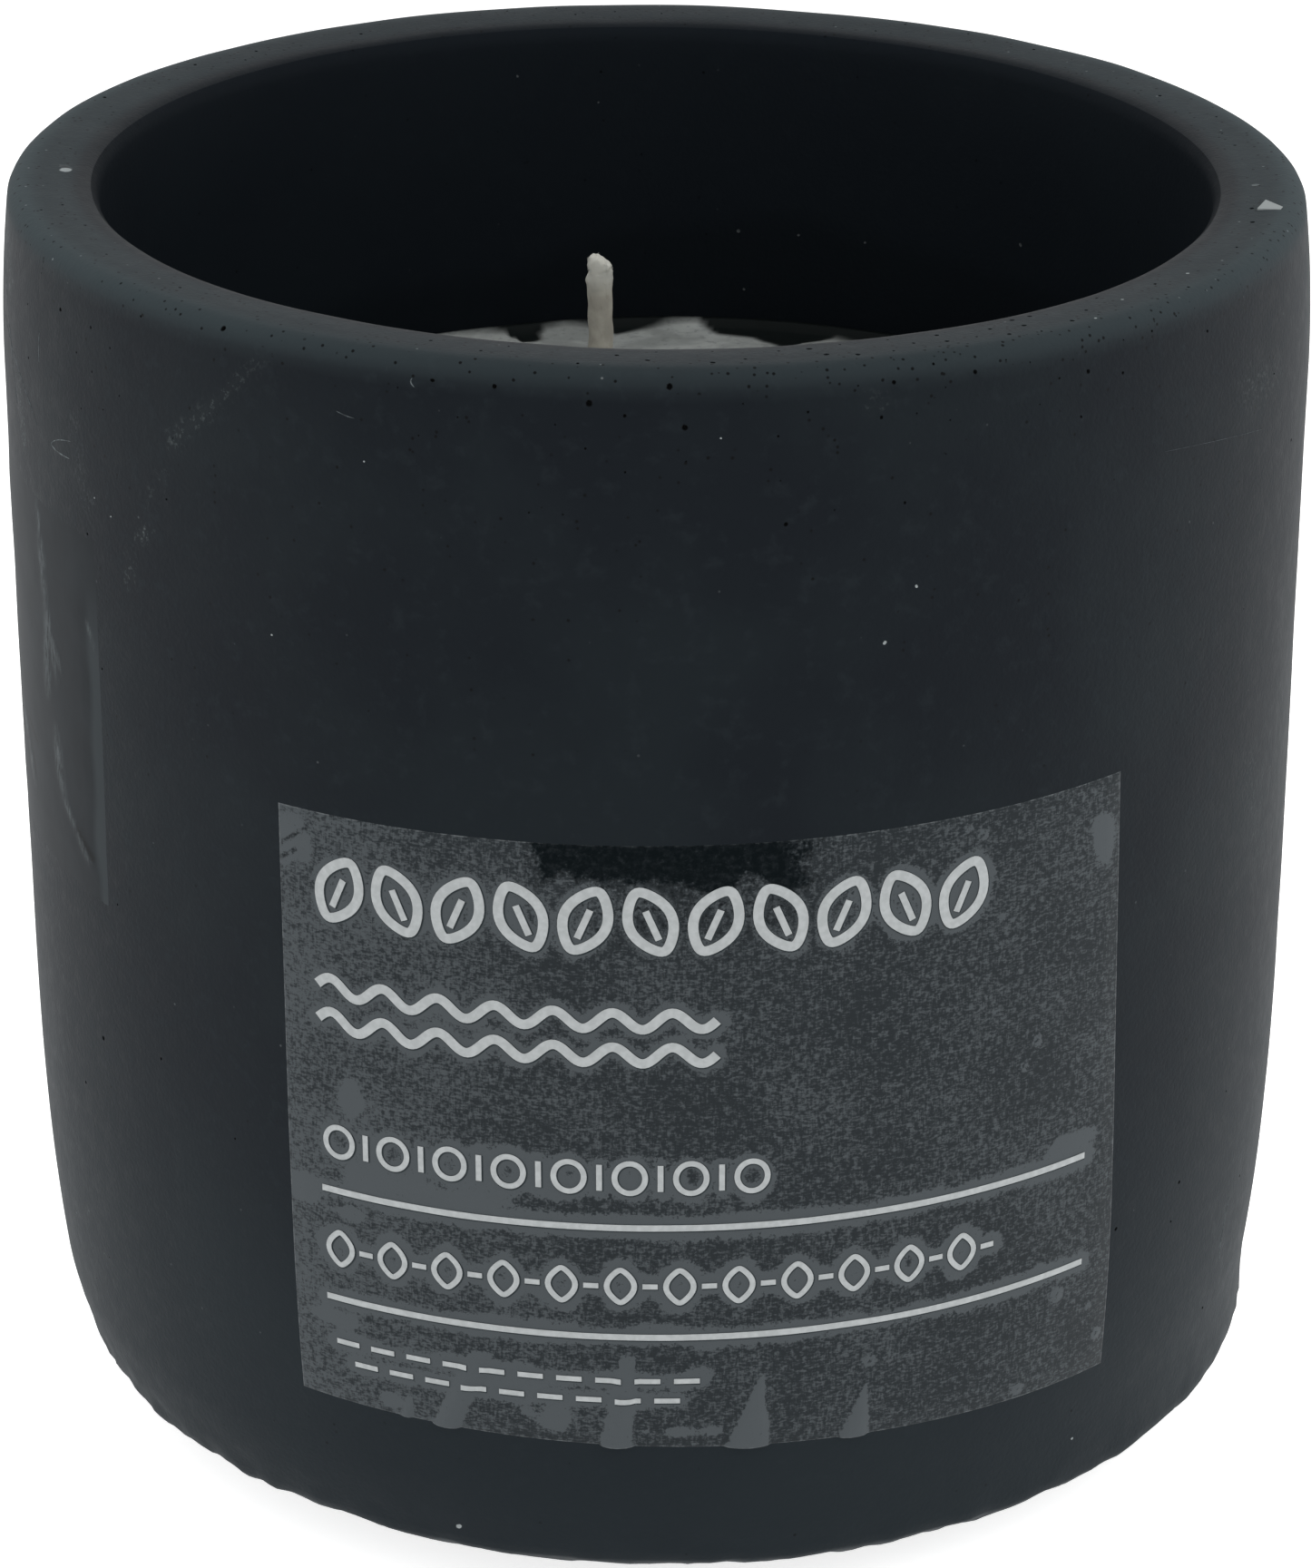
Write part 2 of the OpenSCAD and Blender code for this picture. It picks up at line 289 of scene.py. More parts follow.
# Chips, where the paint has come off down to the pale cement, on rim, wall and bore
RIM_CHIPS = (
    (80.1, 45.3, 0.24), (-92.6, 44.6, 0.42), (40.4, 46.2, 0.1), (50.6, 46.0, 0.12),
    (34.7, 47.9, 0.09), (79.2, 45.6, 0.14),
)
WALL_CHIPS = (
    (13.4, 79.9, 0.12), (15.7, 79.2, 0.16), (16.0, 83.4, 0.1), (-37.5, 78.3, 0.07),
    (-23.0, 7.4, 0.2), (36.1, 9.8, 0.1), (-58.9, 83.6, 0.06), (-56.4, 82.9, 0.06),
    (-28.5, 92.5, 0.06), (0.1, 95.2, 0.06),
)
BORE_CHIPS = (
    (165.5, 82.3, 0.14), (158.4, 81.7, 0.1), (150.3, 82.2, 0.1), (164.8, 76.9, 0.1),
    (129.4, 84.6, 0.14), (-178.3, 93.4, 0.08), (-168.9, 96.1, 0.1),
)
more_on_rim = np.c_[rim_a, rim_r, size_of(RIM_CROWD + RIM_ANY, 0.09, 0.18)]
more_on_edge = np.c_[edge_a, edge_z, size_of(EDGE_CROWD + EDGE_ANY, 0.05, 0.12)]
more_a, more_z = np.r_[wall_a, band_a], np.r_[any_z, band_z]
more_on_wall = np.c_[more_a, more_z, size_of(WALL_ANY + BAND_ANY, 0.05, 0.12)]
# Each goes to the row of the pot's grid that is nearest to it on its own part of the
# pot, by radius on the rim's top and by height on the wall and in the bore
by_rim, by_bore = (path_r, path_z >= RIM_TOP_Z), (path_z, inner)
by_wall = (path_z, ~inner & (path_r >= UNDER_R))
sites = []
for group, (values, allowed) in (
    (RIM_CHIPS, by_rim),
    (WALL_CHIPS, by_wall),
    (BORE_CHIPS, by_bore),
    (SEEN_HOLES, by_wall),
    (RIM_HOLES, by_rim),
    (more_on_rim, by_rim),
    (more_on_edge, by_wall),
    (more_on_wall, by_wall),
):
    site_a, site_at, site_size = np.transpose(group)
    away = np.where(allowed, np.abs(values - site_at[:, None]), np.inf)
    sites.append(np.c_[site_a, np.argmin(away, axis=1), site_size])
sites = np.concatenate(sites)
chip_count = len(RIM_CHIPS) + len(WALL_CHIPS) + len(BORE_CHIPS)
chipped = np.arange(len(sites)) < chip_count
# The first chip and those down the bore are shallow, hardly paler than the paint
chip_tone = chipped.astype(float)
chip_tone[0] = 0.35
chip_tone[chip_count - len(BORE_CHIPS) : chip_count] = 0.16
site_row = sites[:, 1].astype(int)
exact_col = (np.radians(sites[:, 0]) + np.pi) / TURN * POT_COLUMNS
site_col = np.round(exact_col).astype(int)
aside = exact_col - site_col
site_col = site_col % POT_COLUMNS
# One that comes too near to another before it is left out, so that none share a quad
keep, taken = [], np.zeros((rows + 4, POT_COLUMNS + 4), bool)
for n, (i, j) in enumerate(zip(site_row, site_col)):
    if not taken[i : i + 3, j : j + 3].any():
        taken[i : i + 3, j : j + 3] = True
        keep.append(n)
sites, chipped, site_row, site_col, aside, chip_tone = (
    values[keep] for values in (sites, chipped, site_row, site_col, aside, chip_tone)
)
# Rings of a dimple from outside in: share of its radius, and share of its depth
HOLE_RINGS, HOLE_SIDES = ((1.3, 0.0), (1.12, 0.0), (1.0, 0.2), (0.6, 0.85)), 16


def dimples(points, quads, row, col, aside, radius, depth, seed):
    """Cuts dimples into a ring-shaped grid. The four quads round each site give way to
    HOLE_RINGS about its middle, which stands aside by part of a quad: two flat, one at
    the edge and one inside, each wobbled. The middle goes down by depth."""
    count, ring = len(row), np.arange(HOLE_SIDES)
    left, right = (col - 1) % POT_COLUMNS, (col + 1) % POT_COLUMNS
    low, mid, high = (row - 1) * POT_COLUMNS, row * POT_COLUMNS, (row + 1) * POT_COLUMNS
    below, above = (low + left, low + col, low + right), (high + right, high + col, high + left)
    edge = np.stack([*below, mid + right, *above, mid + left], 1)
    middle = mid + col
    across = points[mid + right] - points[mid + left]
    up = points[high + col] - points[low + col]
    room = 0.9 - HOLE_RINGS[0][0] * radius / (np.linalg.norm(across, axis=1) / 2 / MM)
    centre = points[middle] + (np.clip(aside, -room, room) / 2)[:, None] * across
    across /= np.linalg.norm(across, axis=1)[:, None]
    up /= np.linalg.norm(up, axis=1)[:, None]
    out = np.cross(across, up)
    random = np.random.default_rng(seed)
    # The first point of a ring looks to the lower left corner of the four quads
    turn = np.radians(225 + 360 / HOLE_SIDES * ring)[None]
    oval_by = 0.16 * random.uniform(-1, 1, (count, 1))
    wobble = 1 + oval_by * np.cos(2 * turn + random.uniform(0, 6, (count, 1)))
    wobble = wobble + 0.1 * random.uniform(-1, 1, (count, HOLE_SIDES))
    outline = np.cos(turn)[..., None] * across[:, None] + np.sin(turn)[..., None] * up[:, None]
    made = []
    for share, drop in HOLE_RINGS:
        reach = (radius[:, None] * share * wobble)[..., None] * MM
        place = centre[:, None] + reach * outline
        made.append(place - (depth * drop * MM)[:, None, None] * out[:, None])
    points = points.copy()
    points[middle] = centre - (depth * MM)[:, None] * out
    shape = (len(HOLE_RINGS), count, HOLE_SIDES)
    first = len(points) + np.arange(np.prod(shape)).reshape(shape)
    after = np.roll(first, -1, axis=2)
    outer_next = np.roll(edge, -1, axis=1)
    even_ring, odd_ring = first[0][:, 0::2], first[0][:, 1::2]
    next_even = np.roll(even_ring, -1, axis=1)
    triangles = (
        (edge, outer_next, odd_ring),
        (edge, odd_ring, even_ring),
        (outer_next, next_even, odd_ring),
        (first[3], after[3], np.broadcast_to(middle[:, None], first[3].shape)),
    )
    skirt = np.concatenate([np.stack(three, -1).reshape(-1, 3) for three in triangles])
    bands = np.stack([first[:3], after[:3], after[1:], first[1:]], -1).reshape(-1, 4)
    gone = np.zeros(quads.shape[:2], bool)
    for down in (-1, 0):
        for side in (left, col):
            gone[row + down, side] = True
    points = np.concatenate([points, np.concatenate(made).reshape(-1, 3)])
    return points, quads[~gone], skirt, bands, first, middle


# Depth of each kind as a share of its radius
CHIP_DEPTH, HOLE_DEPTH = 0.25, 1.5
depth = np.where(chipped, CHIP_DEPTH, HOLE_DEPTH) * sites[:, 2]
pot_quads = grid_faces(rows, POT_COLUMNS, True)
pot_points, pot_quads, skirt, bands, ring_at, centre_at = dimples(
    pot_points, pot_quads, site_row, site_col, aside, sites[:, 2], depth, seed=31
)
# The poles: each end row is one point
for row in (0, rows - 1):
    pot_points[row * POT_COLUMNS : (row + 1) * POT_COLUMNS] = (0, 0, path_z[row] * MM)

# Both values begin at a dimple's second ring and are whole from its edge inwards. The
# pinholes' value darkens them to near black: painted shade in the hollow
pinhole_shade_value, bare_value = np.zeros(len(pot_points)), np.zeros(len(pot_points))
for ring, much in ((1, 0.3), (2, 1), (3, 1)):
    pinhole_shade_value[ring_at[ring][~chipped]] = much
    bare_value[ring_at[ring][chipped]] = (much * chip_tone[chipped])[:, None]
pinhole_shade_value[centre_at[~chipped]] = 1
bare_value[centre_at[chipped]] = chip_tone[chipped]

# Rubbed places, as segments from one angle and height to another, with a width in mm
# and a strength: scuffs on the left below the rim, smears further down, dust elsewhere.
RUBS = (
    (-47.8, 90.4, -46.1, 92.0, 0.6, 0.5), (-46.1, 92.0, -43.4, 93.9, 0.5, 0.6),
    (-43.4, 93.9, -40.6, 96.3, 0.4, 0.5), (-40.6, 96.3, -38.4, 98.2, 0.5, 0.25),
    (-49.3, 88.0, -49.0, 87.4, 0.4, 0.5), (-51.0, 86.2, -50.9, 85.7, 0.35, 0.4),
    (-52.2, 82.4, -51.4, 83.0, 0.45, 1.1), (-54.0, 80.2, -54.1, 78.6, 0.5, 0.7),
    (-61.5, 84.2, -59.5, 83.6, 0.6, 0.35), (-84.0, 97.5, -80.0, 95.0, 1.2, 0.8),
    (-76.5, 88.5, -75.0, 84.0, 0.9, 0.7), (-62.0, 89.0, -60.5, 83.0, 0.8, 0.25),
    (12.2, 97.2, 13.2, 97.1, 0.4, 0.5), (54.0, 91.0, 60.0, 90.0, 1.6, 0.3),
    (58.0, 60.0, 62.0, 52.0, 2.0, 0.2), (140, 97.0, 150, 93.0, 1.6, 0.6),
    (-140, 60.0, -132, 52.0, 2.2, 0.5), (100, 40.0, 108, 43.0, 1.8, 0.5),
    (165, 30.0, 172, 22.0, 2.0, 0.45), (-168, 96.0, -160, 97.5, 1.4, 0.6),
)
point_a = np.arctan2(pot_points[:, 0], -pot_points[:, 1])
point_r = np.hypot(pot_points[:, 0], pot_points[:, 1]) / MM
point_z = pot_points[:, 2] / MM


def from_segment(u, z, a0, z0, a1, z1):
    """Share of the way along a segment of the wall, from 0 to 1, that is nearest to each
    place, and its distance from there in mm. Places are given by arc length and height,
    the segment's ends by angle in degrees and height."""
    u0, wide, tall = np.radians(a0) * POT_R, np.radians(a1 - a0) * POT_R, z1 - z0
    share = np.clip(((u - u0) * wide + (z - z0) * tall) / (wide**2 + tall**2), 0, 1)
    return share, np.hypot(u - u0 - share * wide, z - z0 - share * tall)


rub_value = np.zeros(len(pot_points))
for *segment, width, much in RUBS:
    away = from_segment(point_a * POT_R, point_z, *segment)[1]
    rub_value = np.maximum(rub_value, much * np.exp(-((away / width) ** 2)) * (point_r > 44))
# The bore's lower band, wetted by wax, ends in soft lobes SPLASHED_H above the wax
SPLASHED_H = 7
lobe = WAX_Z + SPLASHED_H + 4 * lattice(point_a / TURN * 11, 0 * point_a + 5, 11, 41)
lobe = lobe + 1.2 * lattice(point_a / TURN * 34, 0 * point_a + 7, 34, 42)
in_bore = (point_r < BORE_R + 0.7) & (point_z > FLOOR_T + 1)
wet_value = np.where(in_bore, np.clip((lobe - point_z) / 2.5 + 0.5, 0, 1), 0)
# The rim's top and its outer edge are painted paler, most at the two sides: painted light
# from above, and the dust specks crowd there too
rim_z = point_z + RIM_TILT * point_r * np.sin(point_a) / POT_R
rim_light_and_dust_value = np.clip((rim_z - 98.3) / 1.3, 0, 1) ** 0.7 * np.clip((point_r - 43.7) / 0.8, 0, 1)
rim_light_and_dust_value = rim_light_and_dust_value * (0.5 + 0.5 * np.clip((point_r - 46.8) / 0.8, 0, 1))
rim_light_and_dust_value = rim_light_and_dust_value * (0.48 + 0.52 * np.sin(point_a) ** 2)
# Pores crowd on the rim's front right, CROWDED_AT degrees round
CROWDED_AT, CROWD_W = 24, 26
crowded = np.exp(-(((np.degrees(point_a) - CROWDED_AT) / CROWD_W) ** 2))
pore_value = np.clip((rim_z - 97.6) / 1.6, 0, 1) * (0.45 + 0.55 * crowded)
pore_value = np.maximum(pore_value, 0.1 * np.clip((rim_z - 70) / 20, 0, 1))
pore_value = pore_value * (point_r > BORE_R + 0.6)
# The bore and the rim's inner edge are darkened towards the inside: painted shade
bore_shade_value = np.clip((44.1 - point_r) / 1.4, 0, 1) * (point_z > FLOOR_T - 1)

# Scratches and scrapes: thin closed ribbons of bared cement that lie in the paint's
# face, each a bend through three places by angle and height, with a width in mm.
SCRATCHES = (
    ((-66.9, 85.7), (-65.4, 86.4), (-62.6, 87.0), 0.07),
    ((-66.9, 85.7), (-65.4, 85.5), (-63.0, 85.6), 0.1),
    ((-83.3, 91.1), (-76.0, 89.0), (-70.3, 86.2), 0.06),
    ((-69.3, 93.4), (-69.4, 92.4), (-69.3, 91.2), 0.06),
    ((-24.5, 98.5), (-24.6, 98.2), (-24.3, 97.9), 0.09),
    ((-31.0, 95.5), (-30.2, 95.3), (-29.4, 95.2), 0.06),
    ((60.0, 22.5), (59.2, 19.0), (59.6, 16.8), 0.07),
    ((40.9, 89.4), (48.9, 88.4), (57.1, 87.1), 0.012),
    ((-84.0, 95.0), (-80.0, 91.0), (-77.0, 86.0), 0.1),
    ((118.0, 71.0), (124.0, 66.0), (127.0, 60.0), 0.07),
    ((-150.0, 82.0), (-143.0, 84.0), (-139.0, 83.0), 0.07),
)
SCRATCH_STEPS, SCRATCH_T = 28, 0.02


def bend(first, middle, last, steps):
    """Points of the quadratic curve that passes through three places."""
    t = np.linspace(0, 1, steps)[:, None]
    first, middle, last = (np.asarray(p, float) for p in (first, middle, last))
    handle = 2 * middle - (first + last) / 2
    return (1 - t) ** 2 * first + 2 * t * (1 - t) * handle + t**2 * last


def ribbons(lines, widths, lift, thick, closed=False, taper=False):
    """Closed ribbons on the wall. Each line is points of arc length and height in mm,
    and may close into a loop. A ribbon's section is a rectangle, thick deep and lift off
    the cast wall, and its width dies away towards its ends where taper is set. Gives
    points and quads."""
    lines, widths = np.asarray(lines, float), np.asarray(widths, float)
    count, steps = lines.shape[:2]
    way = np.roll(lines, -1, 1) - np.roll(lines, 1, 1) if closed else np.gradient(lines, axis=1)
    way = way / np.linalg.norm(way, axis=2)[..., None]
    side = np.stack([way[..., 1], -way[..., 0]], -1)
    t = np.linspace(0, 1, steps)
    dying = np.sqrt(np.clip(4 * t * (1 - t), 0.02, 1)) if taper else np.ones(steps)
    half = widths[:, None, None] / 2 * dying[None, :, None]
    made = []
    for across, height in ((-1, 0), (1, 0), (1, 1), (-1, 1)):
        u, z = np.moveaxis(lines + across * half * side, -1, 0)
        radius = wall_radius(z) + swell(u / POT_R, z) + lift + height * thick
        made.append(on_wall(u / POT_R, radius, z))
    points = np.stack(made, 2).reshape(-1, 3)
    line = np.arange(count)[:, None, None]
    step = np.arange(steps if closed else steps - 1)[None, :, None]
    k = np.arange(4)[None, None]
    n = (k + 1) % 4
    here, after = (line * steps + step) * 4, (line * steps + (step + 1) % steps) * 4
    quads = np.stack([here + k, here + n, after + n, after + k], -1).reshape(-1, 4)
    if not closed:
        head = np.arange(count)[:, None] * steps * 4
        tail = head + (steps - 1) * 4
        quads = np.concatenate([quads, head + [[3, 2, 1, 0]], tail + [[0, 1, 2, 3]]])
    return points, quads


scratch_ends = np.array([s[:3] for s in SCRATCHES]) * (np.radians(1) * POT_R, 1)
scratch_lines = [bend(*three, SCRATCH_STEPS) for three in scratch_ends]
scratch_w = [s[3] for s in SCRATCHES]
scratch_points, scratch_quads = ribbons(
    scratch_lines, scratch_w, lift=-0.005, thick=SCRATCH_T, taper=True
)

# The one flake off the rim's top on the right: bared cement, four-cornered, as a low
# closed plate in the paint's place, by angle and radius.
FLAKE = np.radians([74.7, 71.7, 72.0, 72.8]), np.array([46.2, 45.8, 47.5, 47.6])
FLAKE_LIFT = 0.13
flake_a, flake_r = (np.tile(values, (2, 1)) for values in FLAKE)
flake_z = np.array([POT_H - RIM_CROWN - 0.3, POT_H - 0.02])[:, None] + 0 * flake_a
flake_points = on_wall(flake_a, flake_r, flake_z + FLAKE_LIFT).reshape(-1, 3)
flake_sides = [(k, (k + 1) % 4, (k + 1) % 4 + 4, k + 4) for k in range(4)]
flake_quads = np.array([(3, 2, 1, 0), (4, 5, 6, 7), *flake_sides])
bared_points = np.concatenate([scratch_points, flake_points])
bared_quads = np.concatenate([scratch_quads, flake_quads[:, ::-1] + len(scratch_points)])

# Matt masonry paint on cement: dusty and open, so it is dark and even face on and turns
# grey at a glance. The cement's grit shows through as a grain about 0.35 mm across,
# rubbed places turn grey along the rubbing, and cement dust lies on it in fine specks.
# The paint comes twice: the copy down the bore has less gloss and no sheen, as painted shade
paints = []
for name, gloss, dust in (
    ("matt_paint_on_cast_cement", 0.06, 0.045),
    ("matt_paint_shaded_down_the_bore", 0.02, 0.0),
):
    paint, tree, shader = new_material(name)
    paints.append(paint)
    place = add(tree, "TexCoord", out="Object")
    cloud = add(tree, "TexNoise", place, at={"Scale": 1000 / 17, "Detail": 5.0})
    grit = add(tree, "TexNoise", place, at={"Scale": 1000 / 0.35, "Detail": 3.0})
    pores = add(tree, "TexNoise", place, at={"Scale": 1000 / 1.4, "Detail": 4.0, "Roughness": 0.65})
    cloud = add(tree, "MapRange", cloud, 0.38, 0.66, interpolation_type="SMOOTHSTEP")
    tones = {0: cloud, 6: linear("#10151A"), 7: linear("#151B1F")}
    tone = add(tree, "Mix", at=tones, out=2, data_type="RGBA")
    # The lower wall is painted paler towards the foot: painted light, for what the white floor
    # throws up on it
    low = add(tree, "SeparateXYZ", place, out="Z")
    low = add(tree, "MapRange", low, 0.055, 0.01, 0.0, 0.6, interpolation_type="SMOOTHSTEP")
    grain = add(tree, "MapRange", pores, 0.5, 0.74, 0.0, 0.45, interpolation_type="SMOOTHSTEP")
    values = ("rim_light_and_dust", "rubbed", "in_bore", "wax_wetted", "pored", "pinhole_shade", "bare_cement")
    rim_light_and_dust_share, rub, inside, wet, crowd, hole_shade, bare = (
        add(tree, "Attribute", out="Fac", attribute_name=value) for value in values
    )
    # Dust specks about 0.1 mm across, drawn nearly twice as big so that a picture shows them
    dots = add(tree, "TexVoronoi", place, at={"Scale": 1000 / 1.1}, out="Distance")
    few = add(tree, "SeparateColor", dots.node.outputs["Color"])
    more = add(tree, "Math", rim_light_and_dust_share, 0.3, operation="MULTIPLY")
    few = add(tree, "Math", few, more, operation="ADD")
    few = add(tree, "MapRange", few, 0.96, 0.99)
    dot = add(tree, "MapRange", dots, 0.11, 0.06)
    dot = add(tree, "Math", dot, few, operation="MULTIPLY")
    pale = add(tree, "MapRange", rim_light_and_dust_share, 0.0, 1.0, 0.17, 0.55)
    dot = add(tree, "Math", dot, pale, operation="MULTIPLY")
    streak = add(tree, "TexNoise", place, at={"Scale": 1000 / 0.4, "Detail": 3.0, "Roughness": 0.7})
    streak = add(tree, "MapRange", streak, 0.53, 0.66, 0.06, 1.0, interpolation_type="SMOOTHSTEP")
    rub = add(tree, "Math", rub, streak, operation="MULTIPLY")
    rub = add(tree, "Math", rub, 0.6, operation="MULTIPLY")
    inside = add(tree, "Math", inside, 0.8, operation="MULTIPLY")
    wet_share = add(tree, "Math", wet, 0.4, operation="MULTIPLY")
    # Pores about 0.15 mm across, drawn half as big again, crowd on the rim: flat dark dots,
    # painted shade of a hollow that has no shape here
    pore_shade = add(tree, "TexVoronoi", place, at={"Scale": 1000 / 0.62}, out="Distance")
    chance = add(tree, "SeparateColor", pore_shade.node.outputs["Color"], out="Green")
    crowd = add(tree, "Math", crowd, 0.85, operation="MULTIPLY")
    chance = add(tree, "Math", chance, crowd, operation="ADD")
    chance = add(tree, "MapRange", chance, 0.97, 1.0, 0.0, 0.95)
    pore_shade = add(tree, "MapRange", pore_shade, 0.23, 0.15)
    pore_shade = add(tree, "Math", pore_shade, chance, operation="MULTIPLY")
    hole_shade = add(tree, "Math", hole_shade, pore_shade, operation="MAXIMUM")
    # Over the paint's own tone go the foot, painted paler as painted light from the floor, the
    # grain, the rim, painted paler as painted light from above and dusted, the specks and rubs,
    # then the bore, darkened as painted shade, its wetted band, the holes, darkened as painted
    # shade, and last the bare chips
    for share, code in (
        (low, "#1D2428"),
        (grain, "#20262A"),
        (rim_light_and_dust_share, "#353E41"),
        (dot, "#8E9496"),
        (rub, "#666E6E"),
        (inside, "#12161A"),
        (wet_share, "#0C0F11"),
        (hole_shade, "#040506"),
        (bare, "#8F9596"),
    ):
        tone = add(tree, "Mix", at={0: share, 6: tone, 7: linear(code)}, out=2, data_type="RGBA")
    rough = add(tree, "MapRange", pores, 0.3, 0.7, 0.56, 0.66)
    dusty = add(tree, "Math", rim_light_and_dust_share, 0.2, operation="MULTIPLY")
    rough = add(tree, "Math", rough, dusty, operation="ADD")
    less = add(tree, "Math", wet, 0.16, operation="MULTIPLY")
    rough = add(tree, "Math", rough, less, operation="SUBTRACT")
    height = add(tree, "Math", grit, pores, operation="ADD")
    bump = add(tree, "Bump", at={"Height": height, "Strength": 0.5, "Distance": 0.00004})
    join(tree, shader, {"Base Color": tone, "Roughness": rough, "Normal": bump})
    join(tree, shader, {"Specular IOR Level": gloss, "Sheen Weight": dust})
    join(tree, shader, {"Sheen Roughness": 0.5, "Sheen Tint": linear("#E8EEF2")})

scratched, tree, shader = new_material("bared_cement_dust")
place = add(tree, "TexCoord", out="Object")
dust = add(tree, "TexNoise", place, at={"Scale": 1000 / 0.4, "Detail": 2.0})
dust = add(tree, "MapRange", dust, 0.35, 0.65, interpolation_type="SMOOTHSTEP")
tones = {0: dust, 6: linear("#2A3033"), 7: linear("#596164")}
dust = add(tree, "Mix", at=tones, out=2, data_type="RGBA")
whole = add(tree, "Attribute", out="Fac", attribute_name="bare_cement")
dust = add(tree, "Mix", at={0: whole, 6: dust, 7: linear("#8A9090")}, out=2, data_type="RGBA")
join(tree, shader, {"Base Color": dust, "Roughness": 0.85})

extra = np.zeros(len(bared_points))
pot = new_piece(
    "pot_cast",
    np.concatenate([pot_points, bared_points]),
    [pot_quads, bands, skirt, bared_quads + len(pot_points)],
    paints[0],
    {
        "pinhole_shade": np.r_[pinhole_shade_value, extra],
        "bare_cement": np.r_[bare_value, np.arange(len(extra)) >= len(scratch_points)],
        "rubbed": np.r_[rub_value, extra],
        "wax_wetted": np.r_[wet_value, extra],
        "in_bore": np.r_[bore_shade_value, extra],
        "rim_light_and_dust": np.r_[rim_light_and_dust_value, extra],
        "pored": np.r_[pore_value, extra],
    },
    flat=1,
)
pot.data.materials.append(paints[1])
pot.data.materials.append(scratched)
# Faces deep in the bore take the shaded copy of the paint
bore_shade_faces = [(bore_shade_value[faces] > 0.7).all(axis=1) for faces in (pot_quads, bands, skirt)]
slots = np.concatenate([*bore_shade_faces, np.full(len(bared_quads), 2)]).astype(np.int32)
pot.data.polygons.foreach_set("material_index", slots)
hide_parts("pot")

# The wax: a soft white fill, poured to 26 mm below the rim. It has shrunk as it set, so
# its frosted face ends in lobes a little short of the bore, and past them only a thin
# dark skin of clear wax runs up to the cement.
WICK_AT = (-4.3, 0.4)
WAX_R, WAX_CLIMB, WAX_CLIMB_W = 42.12, 0.5, 2.6
WAX_COLUMNS = 480
FROST_R, LOBED_BY = 40.0, 1.5
# Angle and radius of the lobes that the photograph shows, in degrees and mm
SEEN_LOBES = (
    (-201.7, 37.0), (-198.7, 38.0), (-197.4, 38.8), (-192.5, 39.5), (-189.8, 41.6),
    (-187.0, 41.7), (-184.7, 40.9), (-179.9, 39.3), (-176.9, 41.1), (-174.0, 41.7),
    (-171.3, 41.4), (-170.0, 38.5), (-167.6, 39.0), (-167.0, 41.2), (-163.8, 41.9),
    (-160.3, 41.9),
)


def frost_edge(a):
    """Radius in mm at which the white face ends: noise in three octaves, and between
    -200 and -160 degrees the lobes as seen."""
    turn = a / TURN
    free = FROST_R + LOBED_BY * lattice(turn * 13, 0 * a + 3, 13, 51)
    free = free + 0.8 * lattice(turn * 41, 0 * a + 9, 41, 52)
    degrees = np.degrees(a)
    degrees = np.where(degrees > 140, degrees - 360, degrees)
    as_seen = np.interp(degrees, *np.transpose(SEEN_LOBES))
    share = np.clip(np.minimum(degrees + 207, -154 - degrees) / 5, 0, 1)
    fine = 0.12 * lattice(turn * 240, 0 * a + 2, 240, 53)
    return free * (1 - share) + as_seen * share + fine


wax_a = np.arange(WAX_COLUMNS) / WAX_COLUMNS * TURN - np.pi
wax_r = np.r_[0.01, np.linspace(1.5, 34, 27), np.linspace(34.3, WAX_R, 40)]
WA, WR = np.meshgrid(wax_a, wax_r)
frost = np.clip((frost_edge(WA) - WR) / 1.4 + 0.5, 0, 1)
near_wick = np.hypot(WR * np.sin(WA) - WICK_AT[0], -WR * np.cos(WA) - WICK_AT[1])
rise = WAX_CLIMB * np.clip(1 - (WAX_R - WR) / WAX_CLIMB_W, 0, 1) ** 2
rise = rise - 0.3 * (1 - frost) * np.clip((WAX_R - WR) / 1.2, 0, 1)
rise = rise + 0.1 * frost * lattice(WA / TURN * 60, WR / 2.4, 60, 54) * np.clip((WR - 30) / 8, 0, 1)
rise = rise + 0.16 * lattice(WA / TURN * 9, WR / 11, 9, 55) * np.clip(WR / 10, 0, 1)
rise = rise + 0.7 * np.exp(-np.clip(near_wick - 1.0, 0, None) / 0.55)
top = on_wall(WA, WR, WAX_Z + rise)
side_r = np.array([WAX_R, WAX_R, WAX_R - 1.2, WAX_R - 4, 0.01])
side_z = np.array([WAX_Z - 1.5, FLOOR_T + 4, FLOOR_T + 1.2, FLOOR_T + 0.01, FLOOR_T + 0.01])
SA, SR = np.meshgrid(wax_a, side_r)
side = on_wall(SA, SR, np.meshgrid(wax_a, side_z)[1])
wax_points = np.concatenate([top, side]).reshape(-1, 3)
wax_rows = len(wax_r) + len(side_r)
wax_faces = grid_faces(wax_rows, WAX_COLUMNS, True)[..., ::-1].reshape(-1, 4)
for row in (0, wax_rows - 1):
    band = slice(row * WAX_COLUMNS, (row + 1) * WAX_COLUMNS)
    wax_points[band] = wax_points[band].mean(axis=0)
frosted = np.r_[frost.ravel(), np.ones(side_r.size * WAX_COLUMNS)]

